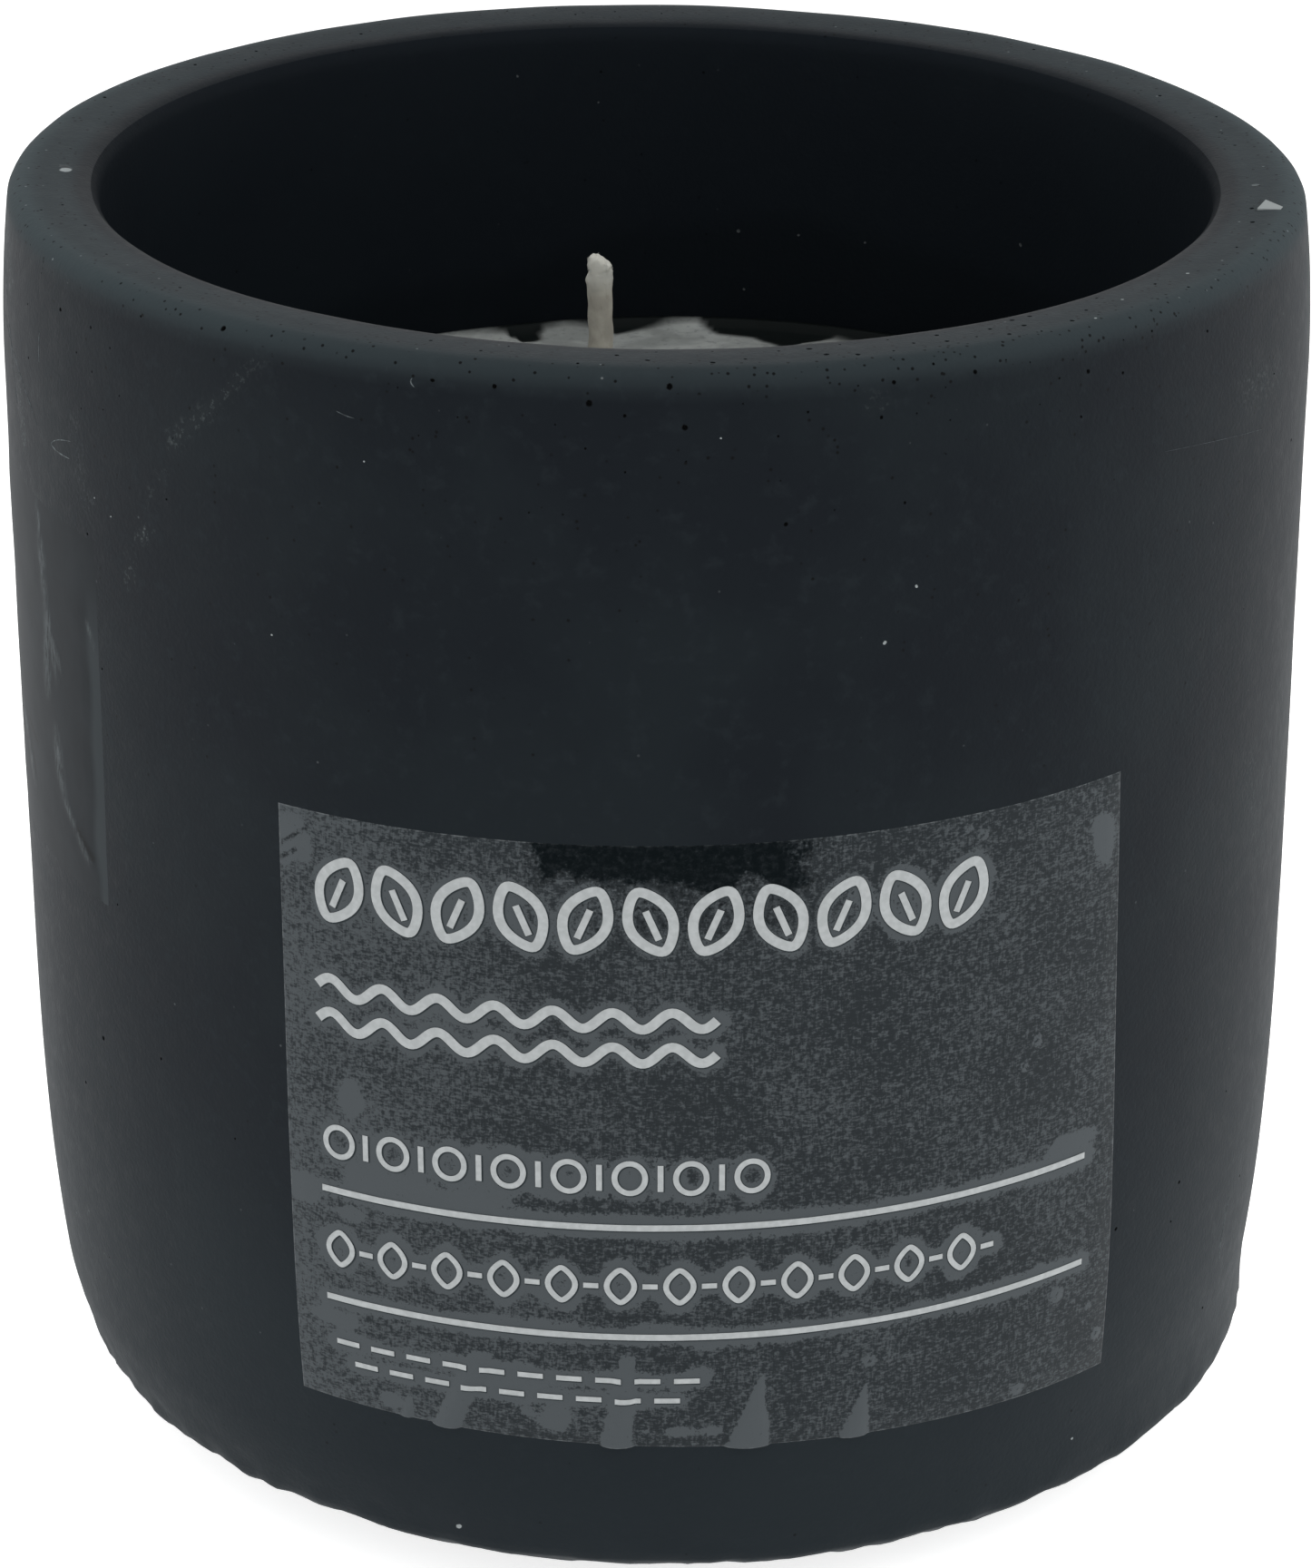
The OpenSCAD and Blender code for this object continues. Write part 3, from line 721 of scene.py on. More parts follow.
# Paraffin with oil in it: milky, with light that goes a little way in, a dull bloom on
# its face and a few clearer patches. Its white is painted down to mid grey, as painted
# shade for the depth of the pot. The skin past the lobes is clear over dark cement.
wax_material, tree, shader = new_material("soft_poured_wax")
place = add(tree, "TexCoord", out="Object")
bloom = add(tree, "TexNoise", place, at={"Scale": 1000 / 3.0, "Detail": 4.0})
flecks = add(tree, "TexNoise", place, at={"Scale": 1000 / 0.7, "Detail": 3.0})
milky = add(tree, "MapRange", bloom, 0.35, 0.7, interpolation_type="SMOOTHSTEP")
tones = {0: milky, 6: linear("#8A8E8C"), 7: linear("#A8ACAA")}
shade_dimmed_milk = add(tree, "Mix", at=tones, out=2, data_type="RGBA")
clear = add(tree, "MapRange", flecks, 0.52, 0.72, 0.0, 0.42, interpolation_type="SMOOTHSTEP")
shade_dimmed_milk = add(tree, "Mix", at={0: clear, 6: shade_dimmed_milk, 7: linear("#666A69")}, out=2, data_type="RGBA")
white = add(tree, "Attribute", out="Fac", attribute_name="frosted")
tone = add(tree, "Mix", at={0: white, 6: linear("#121616"), 7: shade_dimmed_milk}, out=2, data_type="RGBA")
rough = add(tree, "MapRange", white, 0.0, 1.0, 0.48, 0.6)
bump = add(tree, "Bump", at={"Height": bloom, "Strength": 0.4, "Distance": 0.0002})
join(tree, shader, {"Base Color": tone, "Roughness": rough, "Normal": bump})
join(tree, shader, {"Specular IOR Level": 0.12, "Subsurface Weight": 0.2})
join(tree, shader, {"Subsurface Radius": (1.0, 0.95, 0.8), "Subsurface Scale": 0.0012})
wax = new_piece(
    "wax_fill", wax_points, [wax_faces], wax_material, {"frosted": frosted}
)
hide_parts("wax")

# The wick: braided cotton, 2 mm thick, soaked in wax so that its plaits hardly show. Its
# end was cut with blunt scissors, which left it slanted, nicked and a little furry.
WICK_R, WICK_FOOT, WICK_TIP = 0.98, 8.8, 92.8
WICK_SIDES = 48
# The cut: how far it falls to the photograph's right, and how far left of the middle
# that starts, as a share of the radius
CUT_FALL, CUT_START = 0.62, 0.35
wick_z = np.r_[np.linspace(WICK_FOOT, WAX_Z - 1, 8), np.linspace(WAX_Z - 0.8, WICK_TIP, 120)]
KA, KZ = np.meshgrid(np.arange(WICK_SIDES) / WICK_SIDES * TURN, wick_z)
down = WICK_TIP - KZ


def toward(a, middle, width):
    """A bell over angle about a middle, both in radians."""
    return np.exp(-(((a - middle + np.pi) % TURN - np.pi) ** 2) / width**2)


def cut_fall(a):
    """How far the cut end lies below its highest point at each angle, in mm."""
    return CUT_FALL * np.clip((np.cos(a) + CUT_START) / (1 + CUT_START), 0, 1) ** 1.3


# Angles here run from +X towards +Y, so pi is the photograph's left and 0 its right
left_knob = 0.14 * toward(KA, np.pi, 0.6) * np.exp(-(((down - 1.95) / 0.34) ** 2))
left_cut = 0.16 * toward(KA, np.pi * 0.98, 0.6) * np.exp(-(((down - 1.2) / 0.24) ** 2))
plait = np.maximum(np.cos(3 * (KA + TURN * KZ / 7.2)), np.cos(3 * (KA - TURN * KZ / 7.2)))
wander = 0.035 * lattice(KA / TURN * 6, KZ / 1.7, 6, 61)
wander = wander + 0.018 * lattice(KA / TURN * 14, KZ / 0.5, 14, 62)
furry = 0.07 * lattice(KA / TURN * 20, KZ / 0.2, 20, 67) * np.clip(1.2 - down / 2.0, 0, 1)
bulge = 0.03 * np.exp(-(((down - 1.8) / 0.9) ** 2))
bulge = bulge - 0.04 * np.exp(-(((KZ - WAX_Z - 2.6) / 1.6) ** 2))
KR = WICK_R - 0.03 * (1 - plait) + wander + furry + bulge + left_knob - left_cut
KR[KZ < WAX_Z - 0.9] = WICK_R - 0.03
tip_share = np.clip(1 - down / 0.9, 0, 1)
KR = KR * np.sqrt(1 - 0.42 * tip_share**3)
slant = cut_fall(KA) + 0.06 * (lattice(KA / TURN * 16, 0 * KA + 5, 16, 63) + 1)
KH = KZ - slant * np.clip(1 - down / 1.4, 0, 1) ** 1.2
lean_x = 0.05 * np.sin((KZ - WAX_Z) / 5)
wick_points = np.stack(
    [WICK_AT[0] + lean_x + KR * np.cos(KA), WICK_AT[1] + KR * np.sin(KA), KH], -1
)
# The cut face: uneven rings that shrink and rise from its edge to its middle
tip_rings = []
middle = wick_points[-1].mean(axis=0)
for share, lift in ((0.78, 0.1), (0.5, 0.17), (0.2, 0.16)):
    ring = middle + (wick_points[-1] - middle) * share
    ring[:, 2] += lift + 0.12 * lattice(KA[0] / TURN * 12, 0 * KA[0] + share * 20, 12, 64)
    tip_rings.append(ring)
ends = np.array([middle + (0, 0, 0.12), wick_points[0].mean(axis=0)])
wick_grid = np.concatenate([wick_points, np.array(tip_rings)])
wick_quads = grid_faces(len(wick_grid), WICK_SIDES, True).reshape(-1, 4)
top_row, ring = (len(wick_grid) - 1) * WICK_SIDES, np.arange(WICK_SIDES)
after = (ring + 1) % WICK_SIDES
cap = len(wick_grid) * WICK_SIDES
top_cap = np.stack([top_row + ring, top_row + after, 0 * ring + cap], 1)
wick_caps = np.concatenate([top_cap, np.stack([after, ring, 0 * ring + cap + 1], 1)])

# Loose fibres at the cut: five-sided hairs that lie along the end and thin out
hairs = np.random.default_rng(65)
HAIRS, HAIR_STEPS, HAIR_SIDES, HAIR_R = 40, 7, 5, 0.026
hair_a = hairs.uniform(0, TURN, HAIRS)
hair_h = WICK_TIP - 0.35 - 1.7 * hairs.random(HAIRS) ** 1.3
step = np.linspace(0, 1, HAIR_STEPS)[None]
reach = 0.84 + (0.13 + 0.1 * hairs.random(HAIRS))[:, None] * np.sin(step * np.pi * 0.75)
hair_z = hair_h[:, None] + hairs.uniform(-0.3, 0.5, HAIRS)[:, None] * step
hair_turn = hair_a[:, None] + hairs.uniform(-0.5, 0.5, HAIRS)[:, None] * step
hair_x, hair_y = WICK_AT[0] + reach * np.cos(hair_turn), WICK_AT[1] + reach * np.sin(hair_turn)
spine = np.stack([hair_x, hair_y, hair_z - cut_fall(hair_turn)], -1)
hair_ring = np.arange(HAIR_SIDES) / HAIR_SIDES * TURN
thick = HAIR_R * (1 - 0.6 * step)[..., None]
flat, tall = np.cos(hair_ring) * thick, np.sin(hair_ring) * thick + 0 * hair_turn[..., None]
sine, cosine = np.sin(hair_turn)[..., None], np.cos(hair_turn)[..., None]
offset = np.stack([sine * flat, -cosine * flat, tall], -1)
hair_points = (spine[:, :, None] + offset).reshape(-1, 3)
one = grid_faces(HAIR_STEPS, HAIR_SIDES, True).reshape(-1, 4)
hair_first = cap + 2 + np.arange(HAIRS)[:, None, None] * HAIR_STEPS * HAIR_SIDES
hair_quads = (one[None] + hair_first).reshape(-1, 4)
fan = np.arange(HAIR_SIDES)
fans = np.array([fan[::-1], (HAIR_STEPS - 1) * HAIR_SIDES + fan])
hair_caps = (fans[None] + hair_first).reshape(-1, HAIR_SIDES)
wick_all = np.concatenate([wick_grid.reshape(-1, 3), ends, hair_points]) * MM
whiter = np.clip((wick_all[:, 2] / MM - WICK_TIP + 3.2) / 1.6, 0, 1)

# Waxed cotton: ivory where the wax fills it, whiter at the cut where the fibres are dry
wick_material, tree, shader = new_material("waxed_cotton_braid")
place = add(tree, "TexCoord", out="Object")
stain = add(tree, "TexNoise", place, at={"Scale": 1000 / 1.6, "Detail": 3.0})
stain = add(tree, "MapRange", stain, 0.4, 0.65, interpolation_type="SMOOTHSTEP")
upright = add(tree, "VectorMath", place, (3300, 3300, 1300), operation="MULTIPLY")
thread = add(tree, "TexNoise", upright, at={"Scale": 1.0, "Detail": 2.0})
tones = {0: stain, 6: linear("#97948A"), 7: linear("#A7A499")}
tone = add(tree, "Mix", at=tones, out=2, data_type="RGBA")
gap = add(tree, "MapRange", thread, 0.56, 0.78, 0.0, 0.35, interpolation_type="SMOOTHSTEP")
tone = add(tree, "Mix", at={0: gap, 6: tone, 7: linear("#6F6C5E")}, out=2, data_type="RGBA")
dry = add(tree, "Attribute", out="Fac", attribute_name="dry_end")
tone = add(tree, "Mix", at={0: dry, 6: tone, 7: linear("#B4B4AC")}, out=2, data_type="RGBA")
bump = add(tree, "Bump", at={"Height": thread, "Strength": 0.5, "Distance": 0.00008})
join(tree, shader, {"Base Color": tone, "Roughness": 0.55, "Normal": bump})
join(tree, shader, {"Specular IOR Level": 0.3, "Subsurface Weight": 0.15})
join(tree, shader, {"Subsurface Radius": (1.0, 0.9, 0.7), "Subsurface Scale": 0.0006})
wick_faces = [wick_quads, wick_caps, hair_quads, hair_caps]
wick = new_piece(
    "wick_braid", wick_all, wick_faces, wick_material, {"dry_end": whiter}
)
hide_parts("wick")

# Under the wax: the tab that the wick is crimped in, pressed from tinned sheet and drawn
# with faint round marks, and the white foam sticker that holds it to the floor.
tin, tree, shader = new_material("tinned_pressed_sheet")
place = add(tree, "TexCoord", out="Object")
drawn = add(tree, "VectorMath", place, (1600, 1600, 6400), operation="MULTIPLY")
marks = add(tree, "TexNoise", drawn, at={"Scale": 1.0, "Detail": 3.0})
shine = add(tree, "MapRange", marks, 0.4, 0.65, interpolation_type="SMOOTHSTEP")
tones = {0: shine, 6: linear("#B4B6B6"), 7: linear("#CFD1D0")}
tone = add(tree, "Mix", at=tones, out=2, data_type="RGBA")
rough = add(tree, "MapRange", marks, 0.3, 0.7, 0.28, 0.45)
join(tree, shader, {"Base Color": tone, "Roughness": rough, "Metallic": 1.0})
foam, tree, shader = new_material("white_foam_sticker")
place = add(tree, "TexCoord", out="Object")
cell = add(tree, "TexNoise", place, at={"Scale": 1000 / 0.25, "Detail": 2.0})
pale = add(tree, "MapRange", cell, 0.4, 0.7, interpolation_type="SMOOTHSTEP")
tones = {0: pale, 6: linear("#C9C9C2"), 7: linear("#E4E4DE")}
tone = add(tree, "Mix", at=tones, out=2, data_type="RGBA")
bump = add(tree, "Bump", at={"Height": cell, "Strength": 0.6, "Distance": 0.0001})
join(tree, shader, {"Base Color": tone, "Roughness": 0.9, "Normal": bump})
for node, material in (("wick_sustainer", tin), ("wick_sticker", foam)):
    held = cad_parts[node]
    held.data.materials.clear()
    held.data.materials.append(material)

# The front label: clear film, 65 by 49 mm, pressed on by hand over rough paint. Air is
# caught under it, in a fine silver mottle, in halos round the raised print, and in tents
# along its lower edge, where the pot narrows and the flat film can't follow.
FILM_T, FILM_SEAT, ROLLED_W, FILM_HEAD = 0.06, 0.01, 1.3, 65.6
RIPPLE, BUBBLE_H = 0.015, 0.09
# The edge of a film goes SUNK_EDGE into the paint, so that no gap shows under it, unless
# the film is LOOSE there and stands off further than that
SUNK_EDGE, LOOSE = 0.01, 0.06
# Its four corners as it was stuck on, by angle and height: foot then head, left to right
FRONT_CORNERS = (((-37.4, 17.4), (38.7, 15.9)), ((-37.4, 65.5), (36.9, 65.8)))
INK_T, INK_SHADOW_T, INK_SHADOW_W = 0.03, 0.03, 0.12
PRINT_REACH, BATCH = 3.0, 64
RULE_W, RIB_W, LARGE_W, SMALL_W = 0.5, 0.5, 0.74, 0.42


def loop(u, z, tall, wide, tilt, pointed):
    """A closed outline about a middle: an ellipse whose sides are drawn in towards its
    two ends by pointed, turned by tilt. A whole one is a leaf, a plain one a ring."""
    t = np.arange(40) / 40 * TURN
    x = wide / 2 * np.sin(t) * (1 - pointed + pointed * np.sin(t) ** 2)
    y = tall / 2 * np.cos(t)
    return np.c_[u + x * np.cos(tilt) + y * np.sin(tilt), z - x * np.sin(tilt) + y * np.cos(tilt)]


def stroke(u0, z0, u1, z1, count=6):
    """A straight line on the film."""
    return np.c_[np.linspace(u0, u1, count), np.linspace(z0, z1, count)]


def wave(u0, u1, z, tall, length):
    """A sine line of a given height and wavelength."""
    u = np.linspace(u0, u1, 150)
    return np.c_[u, z + tall / 2 * np.sin(TURN * (u - u0) / length)]


# Plain shapes stand where the film is printed, in rows of the height, length and weight
# of the real print: leaves with a midrib, waves, rings, lozenges and dashes, and two
# rules between the lower rows.
rules_ink = [stroke(-29.75, 35.49, 29.95, 35.49, 60), stroke(-29.75, 26.36, 30.25, 26.36, 60)]
LEAF_Z, RING_Z, LOZENGE_Z = 59.85, 39.55, 30.65
leaves, ribs = [], []
for n, u in enumerate(np.linspace(-27.6, 18.2, 11)):
    tilt = 0.4 * (-1) ** n
    leaves.append(loop(u, LEAF_Z, 4.9, 3.1, tilt, 0.35))
    sine, cosine = np.sin(tilt), np.cos(tilt)
    ribs.append(
        stroke(u - 1.5 * sine, LEAF_Z - 1.5 * cosine, u + 0.9 * sine, LEAF_Z + 0.9 * cosine)
    )
waves = [wave(-29.6, 0.0, z, 1.3, 4.23) for z in (52.1, 49.4)]
rings = [loop(u, RING_Z, 2.4, 2.2, 0, 0) for u in np.arange(-28.2, 5, 4.4)]
lozenges = [loop(u, LOZENGE_Z, 2.7, 2.0, 0, 0.45) for u in np.arange(-28.4, 23, 4.3)]
bars = [stroke(u, 38.5, u, 40.6) for u in np.arange(-26.0, 3, 4.4)]
bars += [stroke(u - 0.55, LOZENGE_Z, u + 0.55, LOZENGE_Z) for u in np.arange(-26.25, 22, 4.3)]
for z, first_u in ((22.6, -29.1), (20.9, -27.65)):
    bars += [stroke(u, z, u + 1.9, z) for u in np.arange(first_u, -2.2, 2.9)]
PRINT = (
    (leaves, LARGE_W, True),
    (ribs, RIB_W, False),
    (waves, LARGE_W, False),
    (rings, SMALL_W, True),
    (lozenges, SMALL_W, True),
    (bars, SMALL_W, False),
    (rules_ink, RULE_W, False),
)
marks_u = np.concatenate([np.concatenate(group) for group, _, _ in PRINT])
marks_w = [np.full(sum(len(line) for line in group), width) for group, width, _ in PRINT]
marks_w = np.concatenate(marks_w)

# Tents along the lower edge: foot and head in arc length and height, width at the foot
# and at the head in mm, and how far the film stands off. Their sides and heads are soft
# over SOFT_SIDE and SOFT_HEAD.
SOFT_SIDE, SOFT_HEAD = 0.24, 0.5
TENTS = (
    (-20.3, 17.2, -17.2, 24.4, 2.4, 2.0, 0.42), (-7.35, 16.6, -6.3, 25.0, 2.7, 1.3, 0.5),
    (2.5, 16.4, 3.6, 23.1, 3.6, 0.3, 0.46), (10.6, 15.9, 11.65, 21.3, 2.8, 0.25, 0.36),
    (-23.6, 17.1, -23.2, 19.4, 1.2, 0.6, 0.15),
)
# Bubbles of air: middle by arc length and height, and radius in mm
BUBBLES = (
    (27.9, 24.2, 0.7), (32.7, 19.1, 0.6), (24.8, 16.9, 0.6), (11.7, 22.9, 0.55),
    (18.5, 64.8, 0.35), (19.7, 64.0, 0.5), (25.0, 46.4, 0.5), (23.8, 44.6, 0.4),
    (13.2, 22.8, 0.35), (31.4, 22.0, 0.35),
)


def film_sheet(corners, steps, lift, film_t, rolled_w):
    """A closed sheet on the wall between four corners given by angle and height: an
    outer and an inner grid, film_t apart, lifted off the wall where lift(u, z) says,
    and a strip round the edge, which is rolled down thin over rolled_w. Gives points,
    faces, the arc length and height of each point, and its distance from the edge."""
    (p00, p10), (p01, p11) = np.asarray(corners, float) * (np.radians(1) * POT_R, 1)
    wide, tall = np.linalg.norm(p10 - p00), np.linalg.norm(p01 - p00)

    def spaced(length, count):
        """Shares of a length: three places close together at each end, count between."""
        inside = np.linspace(0.5, length - 0.5, count)
        return np.r_[0, 0.1, 0.25, inside, length - 0.25, length - 0.1, length] / length

    S, T = np.meshgrid(spaced(wide, steps[0]), spaced(tall, steps[1]))
    s, t = S[..., None], T[..., None]
    place = (p00 * (1 - s) + p10 * s) * (1 - t) + (p01 * (1 - s) + p11 * s) * t
    U, V = place[..., 0], place[..., 1]
    a = U / POT_R
    gap = np.minimum(np.minimum(S, 1 - S) * wide, np.minimum(T, 1 - T) * tall)
    off_wall = lift(U, V)
    standing = np.clip((off_wall - LOOSE) / LOOSE, 0, 1)
    rolled = np.maximum(np.clip(gap / rolled_w, 0, 1), standing)
    base = wall_radius(V) + swell(a, V) - SUNK_EDGE + (FILM_SEAT + SUNK_EDGE + off_wall) * rolled
    thick = film_t * (0.2 + 0.8 * rolled)
    count = U.size
    quads = grid_faces(U.shape[0], U.shape[1], False).reshape(-1, 4)
    ids = np.arange(count).reshape(U.shape)
    rim = np.r_[ids[0, :-1], ids[:-1, -1], ids[-1, :0:-1], ids[:0:-1, 0]]
    after = np.roll(rim, -1)
    strip = np.stack([rim, rim + count, after + count, after], 1)
    points = np.concatenate([on_wall(a, base + thick, V), on_wall(a, base, V)]).reshape(-1, 3)
    faces = [quads, quads[:, ::-1] + count, strip]
    return points, faces, *(np.tile(values.ravel(), 2) for values in (U, V, gap))


def tent_share(u, z):
    """How much each place lies in a tent, from 0 to 1, and how far it stands off: a
    round back across each tent, dying away to its head."""
    share, stand = 0 * u, 0 * u
    for u0, z0, u1, z1, foot_w, head_w, height in TENTS:
        t = (z - z0) / (z1 - z0)
        width = foot_w + (head_w - foot_w) * np.clip(t, 0, 1)
        x = (u - u0 - (u1 - u0) * t) / (width / 2)
        within = np.clip((1 - np.abs(x)) * width / SOFT_SIDE, 0, 1)
        share = np.maximum(share, within * np.clip((1 - t) * (z1 - z0) / SOFT_HEAD, 0, 1))
        back = height * np.clip(1 - x**2, 0, None) ** 0.8 * np.clip(1 - t, 0, 1) ** 0.7
        stand = np.maximum(stand, back)
    return share, stand


def print_distance(u, z):
    """Distance in mm from each place to the nearest ink, less half the stroke, where the
    ink is within PRINT_REACH. It goes through the marks a batch at a time."""
    place = np.stack([u, z], -1)
    out = np.full(u.shape, 3 * PRINT_REACH)
    for first in range(0, len(marks_u), BATCH):
        near, width = marks_u[first : first + BATCH], marks_w[first : first + BATCH]
        least, most = near.min(axis=0) - PRINT_REACH, near.max(axis=0) + PRINT_REACH
        box = ((place > least) & (place < most)).all(axis=1)
        if box.any():
            d = np.hypot(u[box][:, None] - near[:, 0], z[box][:, None] - near[:, 1]) - width / 2
            out[box] = np.minimum(out[box], d.min(axis=1))
    return out


def front_lift(u, z):
    """Lift of the front film: its tents, its bubbles and a slight ripple."""
    lift = tent_share(u, z)[1] + RIPPLE * (1 + lattice(u / 3.1 + 40, z / 2.3, 80, 71))
    for bu, bz, br in BUBBLES:
        lift = lift + BUBBLE_H * np.exp(-((u - bu) ** 2 + (z - bz) ** 2) / (br * 0.7) ** 2)
    return lift


FILM_STEPS = (218, 164)
film_points, film_faces, film_u, film_z, edge_gap = film_sheet(
    FRONT_CORNERS, FILM_STEPS, front_lift, FILM_T, ROLLED_W
)
ink_gap = print_distance(film_u, film_z)
wobble = 0.3 * lattice(film_u / 1.3 + 60, film_z / 1.3, 120, 72)
wobble = wobble + 0.3 * lattice(film_u / 4 + 60, film_z / 4, 60, 73)
# The halo of air round the print is wider in the lower rows
halo = 0.45 + 0.3 * np.clip((45 - film_z) / 8, 0, 1)
air = np.clip((halo + wobble * 0.8 - ink_gap) / 0.8 + 0.5, 0, 1)
air = np.maximum(air, tent_share(film_u, film_z)[0])
for bu, bz, br in BUBBLES:
    away = np.hypot(film_u - bu, film_z - bz)
    air = np.maximum(air, np.clip((br - away) / 0.6 + 0.5, 0, 1) * np.clip(away / br * 2, 0.3, 1))
# Larger patches of air by the left edge, under the third row, in the top corners and
# along the foot: middle by arc length and height, then half its width and height
PATCHES = (
    (-24.2, 37.2, 5.2, 1.4), (-20, 36.6, 5, 1.0), (-31, 35.2, 2.2, 1.2),
    (-31.6, 62.6, 1.6, 2.0), (-27, 43.5, 1.2, 2.2), (-5, 39.4, 4, 1.4), (28.6, 36.9, 2.3, 0.9),
    (30.7, 61, 1.3, 2.4), (-29.5, 24.6, 2.6, 0.8), (-12, 19.2, 2.0, 1.4),
    (-2.0, 18.1, 3.4, 0.6), (-14.5, 21.2, 3.5, 1.1), (-27.4, 33.8, 2.2, 0.7),
    (-24.8, 18.5, 1.0, 0.9),
)
for pu, pz, pw, ph in PATCHES:
    patch = 1 - ((film_u - pu) / pw) ** 2 - ((film_z - pz) / ph) ** 2 + 2.2 * wobble
    air = np.maximum(air, np.clip(patch + 0.5, 0, 1))
# A band of it below its head, about WET_H high, lies fully flat on the paint and is made dark,
# partly as painted dark reflection
WET_H, WET_FROM, WET_TO = 4.5, -14.6, 8.6
wet_h = WET_H + 1.4 * lattice(film_u / 2.6 + 50, 0 * film_u + 3, 90, 74)
wet_h = wet_h + 0.5 * lattice(film_u / 0.9 + 90, 0 * film_u + 8, 90, 75)
wetted = np.minimum((film_u - WET_FROM) / 2.6, (WET_TO - film_u) / 4.6) + 0.7 * wobble
wetted = np.clip(wetted, 0, 1) * np.clip((film_z - FILM_HEAD + wet_h) / 1.6, 0, 1)
# Below that band, between the strokes of the first row, it lies down in patches only
half_wetted = np.clip(np.minimum((film_u + 13) / 5, (11 - film_u) / 6), 0, 1)
half_wetted = half_wetted * np.clip((film_z - 55.5) / 4, 0, 1)
wetted = np.maximum(wetted, 0.46 * half_wetted)
edge = np.clip(1 - edge_gap / 0.1, 0, 1) * (1 - 0.8 * wetted)
# Two dark folds cross the top left corner
for u0, z0, u1, z1 in ((-32.6, 62.4, -29.2, 64.9), (-32.7, 61.2, -31.0, 62.4)):
    d = np.abs((film_u - u0) * (z1 - z0) - (film_z - z0) * (u1 - u0)) / np.hypot(u1 - u0, z1 - z0)
    fold = np.clip(1 - d / 0.25, 0, 1) * (film_u < u1) * (film_z > z0)
    air = air * (1 - fold)
    wetted = np.maximum(wetted, 0.6 * fold)
# Where it is wetted, air is left only beside the ink
air = air * (1 - 0.9 * wetted * (ink_gap > 0.3))

# Clear polypropylene film. What shows through it is the dark paint, where the adhesive
# wets it, or silver grey where air lies under it. The mottle runs in short level and
# upright dashes, which cross like a weave; the film's own face is even and half glossy.
# Where the film lies fully flat on the paint it has less gloss, which takes a material of its
# own, and a tone darker than the paint: partly the wetted paint, partly painted dark reflection.
films = []
for name, gloss in (("clear_film_silvered", 0.08), ("clear_film_wetted_with_dark_reflection", 0.035)):
    film_material, tree, shader = new_material(name)
    films.append(film_material)
    map_uv = add(tree, "TexCoord", out="UV")
    level = add(tree, "VectorMath", map_uv, (2.3, 5.8, 1), operation="MULTIPLY")
    level = add(tree, "TexNoise", level, at={"Scale": 1.0, "Detail": 3.0, "Roughness": 0.65})
    upright = add(tree, "VectorMath", map_uv, (6.5, 1.2, 1), operation="MULTIPLY")
    upright = add(tree, "TexNoise", upright, at={"Scale": 1.0, "Detail": 2.0, "Roughness": 0.6})
    blotch = add(tree, "TexNoise", map_uv, at={"Scale": 1.7, "Detail": 5.0, "Roughness": 0.7})
    broad = add(tree, "TexNoise", map_uv, at={"Scale": 1 / 8, "Detail": 3.0})
    upright = add(tree, "Math", upright, 0.5, operation="MULTIPLY")
    weave = add(tree, "Math", level, upright, operation="ADD")
    mottle = add(tree, "Math", weave, blotch, operation="ADD")
    broad = add(tree, "Math", broad, 0.35, operation="MULTIPLY")
    mottle = add(tree, "Math", mottle, broad, operation="ADD")
    # It is painted more silver towards its left edge: a painted reflection of the light on that
    # side
    left_reflection_silver = add(tree, "SeparateXYZ", map_uv, out="X")
    left_reflection_silver = add(tree, "MapRange", left_reflection_silver, -33, -10, 0.14, 0.0)
    mottle = add(tree, "Math", mottle, left_reflection_silver, operation="ADD")
    silver = add(tree, "MapRange", mottle, 1.355, 1.645, 0.0, 0.95, interpolation_type="SMOOTHSTEP")
    trapped, thin, cut = (
        add(tree, "Attribute", out="Fac", attribute_name=value)
        for value in ("air", "wetted", "edge")
    )
    torn_edge = add(tree, "TexNoise", map_uv, at={"Scale": 3.0, "Detail": 4.0, "Roughness": 0.65})
    torn_edge = add(tree, "MapRange", torn_edge, 0.3, 0.7, -0.42, 0.42)
    trapped = add(tree, "Math", trapped, torn_edge, operation="ADD")
    trapped = add(tree, "MapRange", trapped, 0.42, 0.6, 0.0, 1.0)
    silver = add(tree, "Math", silver, trapped, operation="MAXIMUM")
    thin = add(tree, "Math", thin, torn_edge, operation="ADD")
    thin = add(tree, "MapRange", thin, 0.3, 0.8)
    patchy = add(tree, "MapRange", blotch, 0.42, 0.62, 1.0, 0.72)
    thin = add(tree, "Math", thin, patchy, operation="MULTIPLY")
    kept = add(tree, "MapRange", thin, 0.0, 1.0, 1.0, 0.1)
    silver = add(tree, "Math", silver, kept, operation="MULTIPLY")
    # Wetted places go darker than the paint itself: partly painted dark reflection
    wet_and_reflection_dark = add(tree, "Math", thin, 1.05, operation="MULTIPLY")
    worn = add(tree, "MapRange", blotch, 0.45, 0.6, 0.05, 0.6)
    cut = add(tree, "Math", cut, worn, operation="MULTIPLY")
    tone = linear("#22272A")
    for share, code in ((silver, "#484D50"), (wet_and_reflection_dark, "#040A0D"), (cut, "#7B8082")):
        tone = add(tree, "Mix", at={0: share, 6: tone, 7: linear(code)}, out=2, data_type="RGBA")
    rough = add(tree, "MapRange", silver, 0.0, 1.0, 0.4, 0.5)
    bump = add(tree, "Bump", at={"Height": mottle, "Strength": 0.25, "Distance": 0.00005})
    join(tree, shader, {"Base Color": tone, "Roughness": rough, "Normal": bump})
    join(tree, shader, {"IOR": 1.49, "Specular IOR Level": gloss})

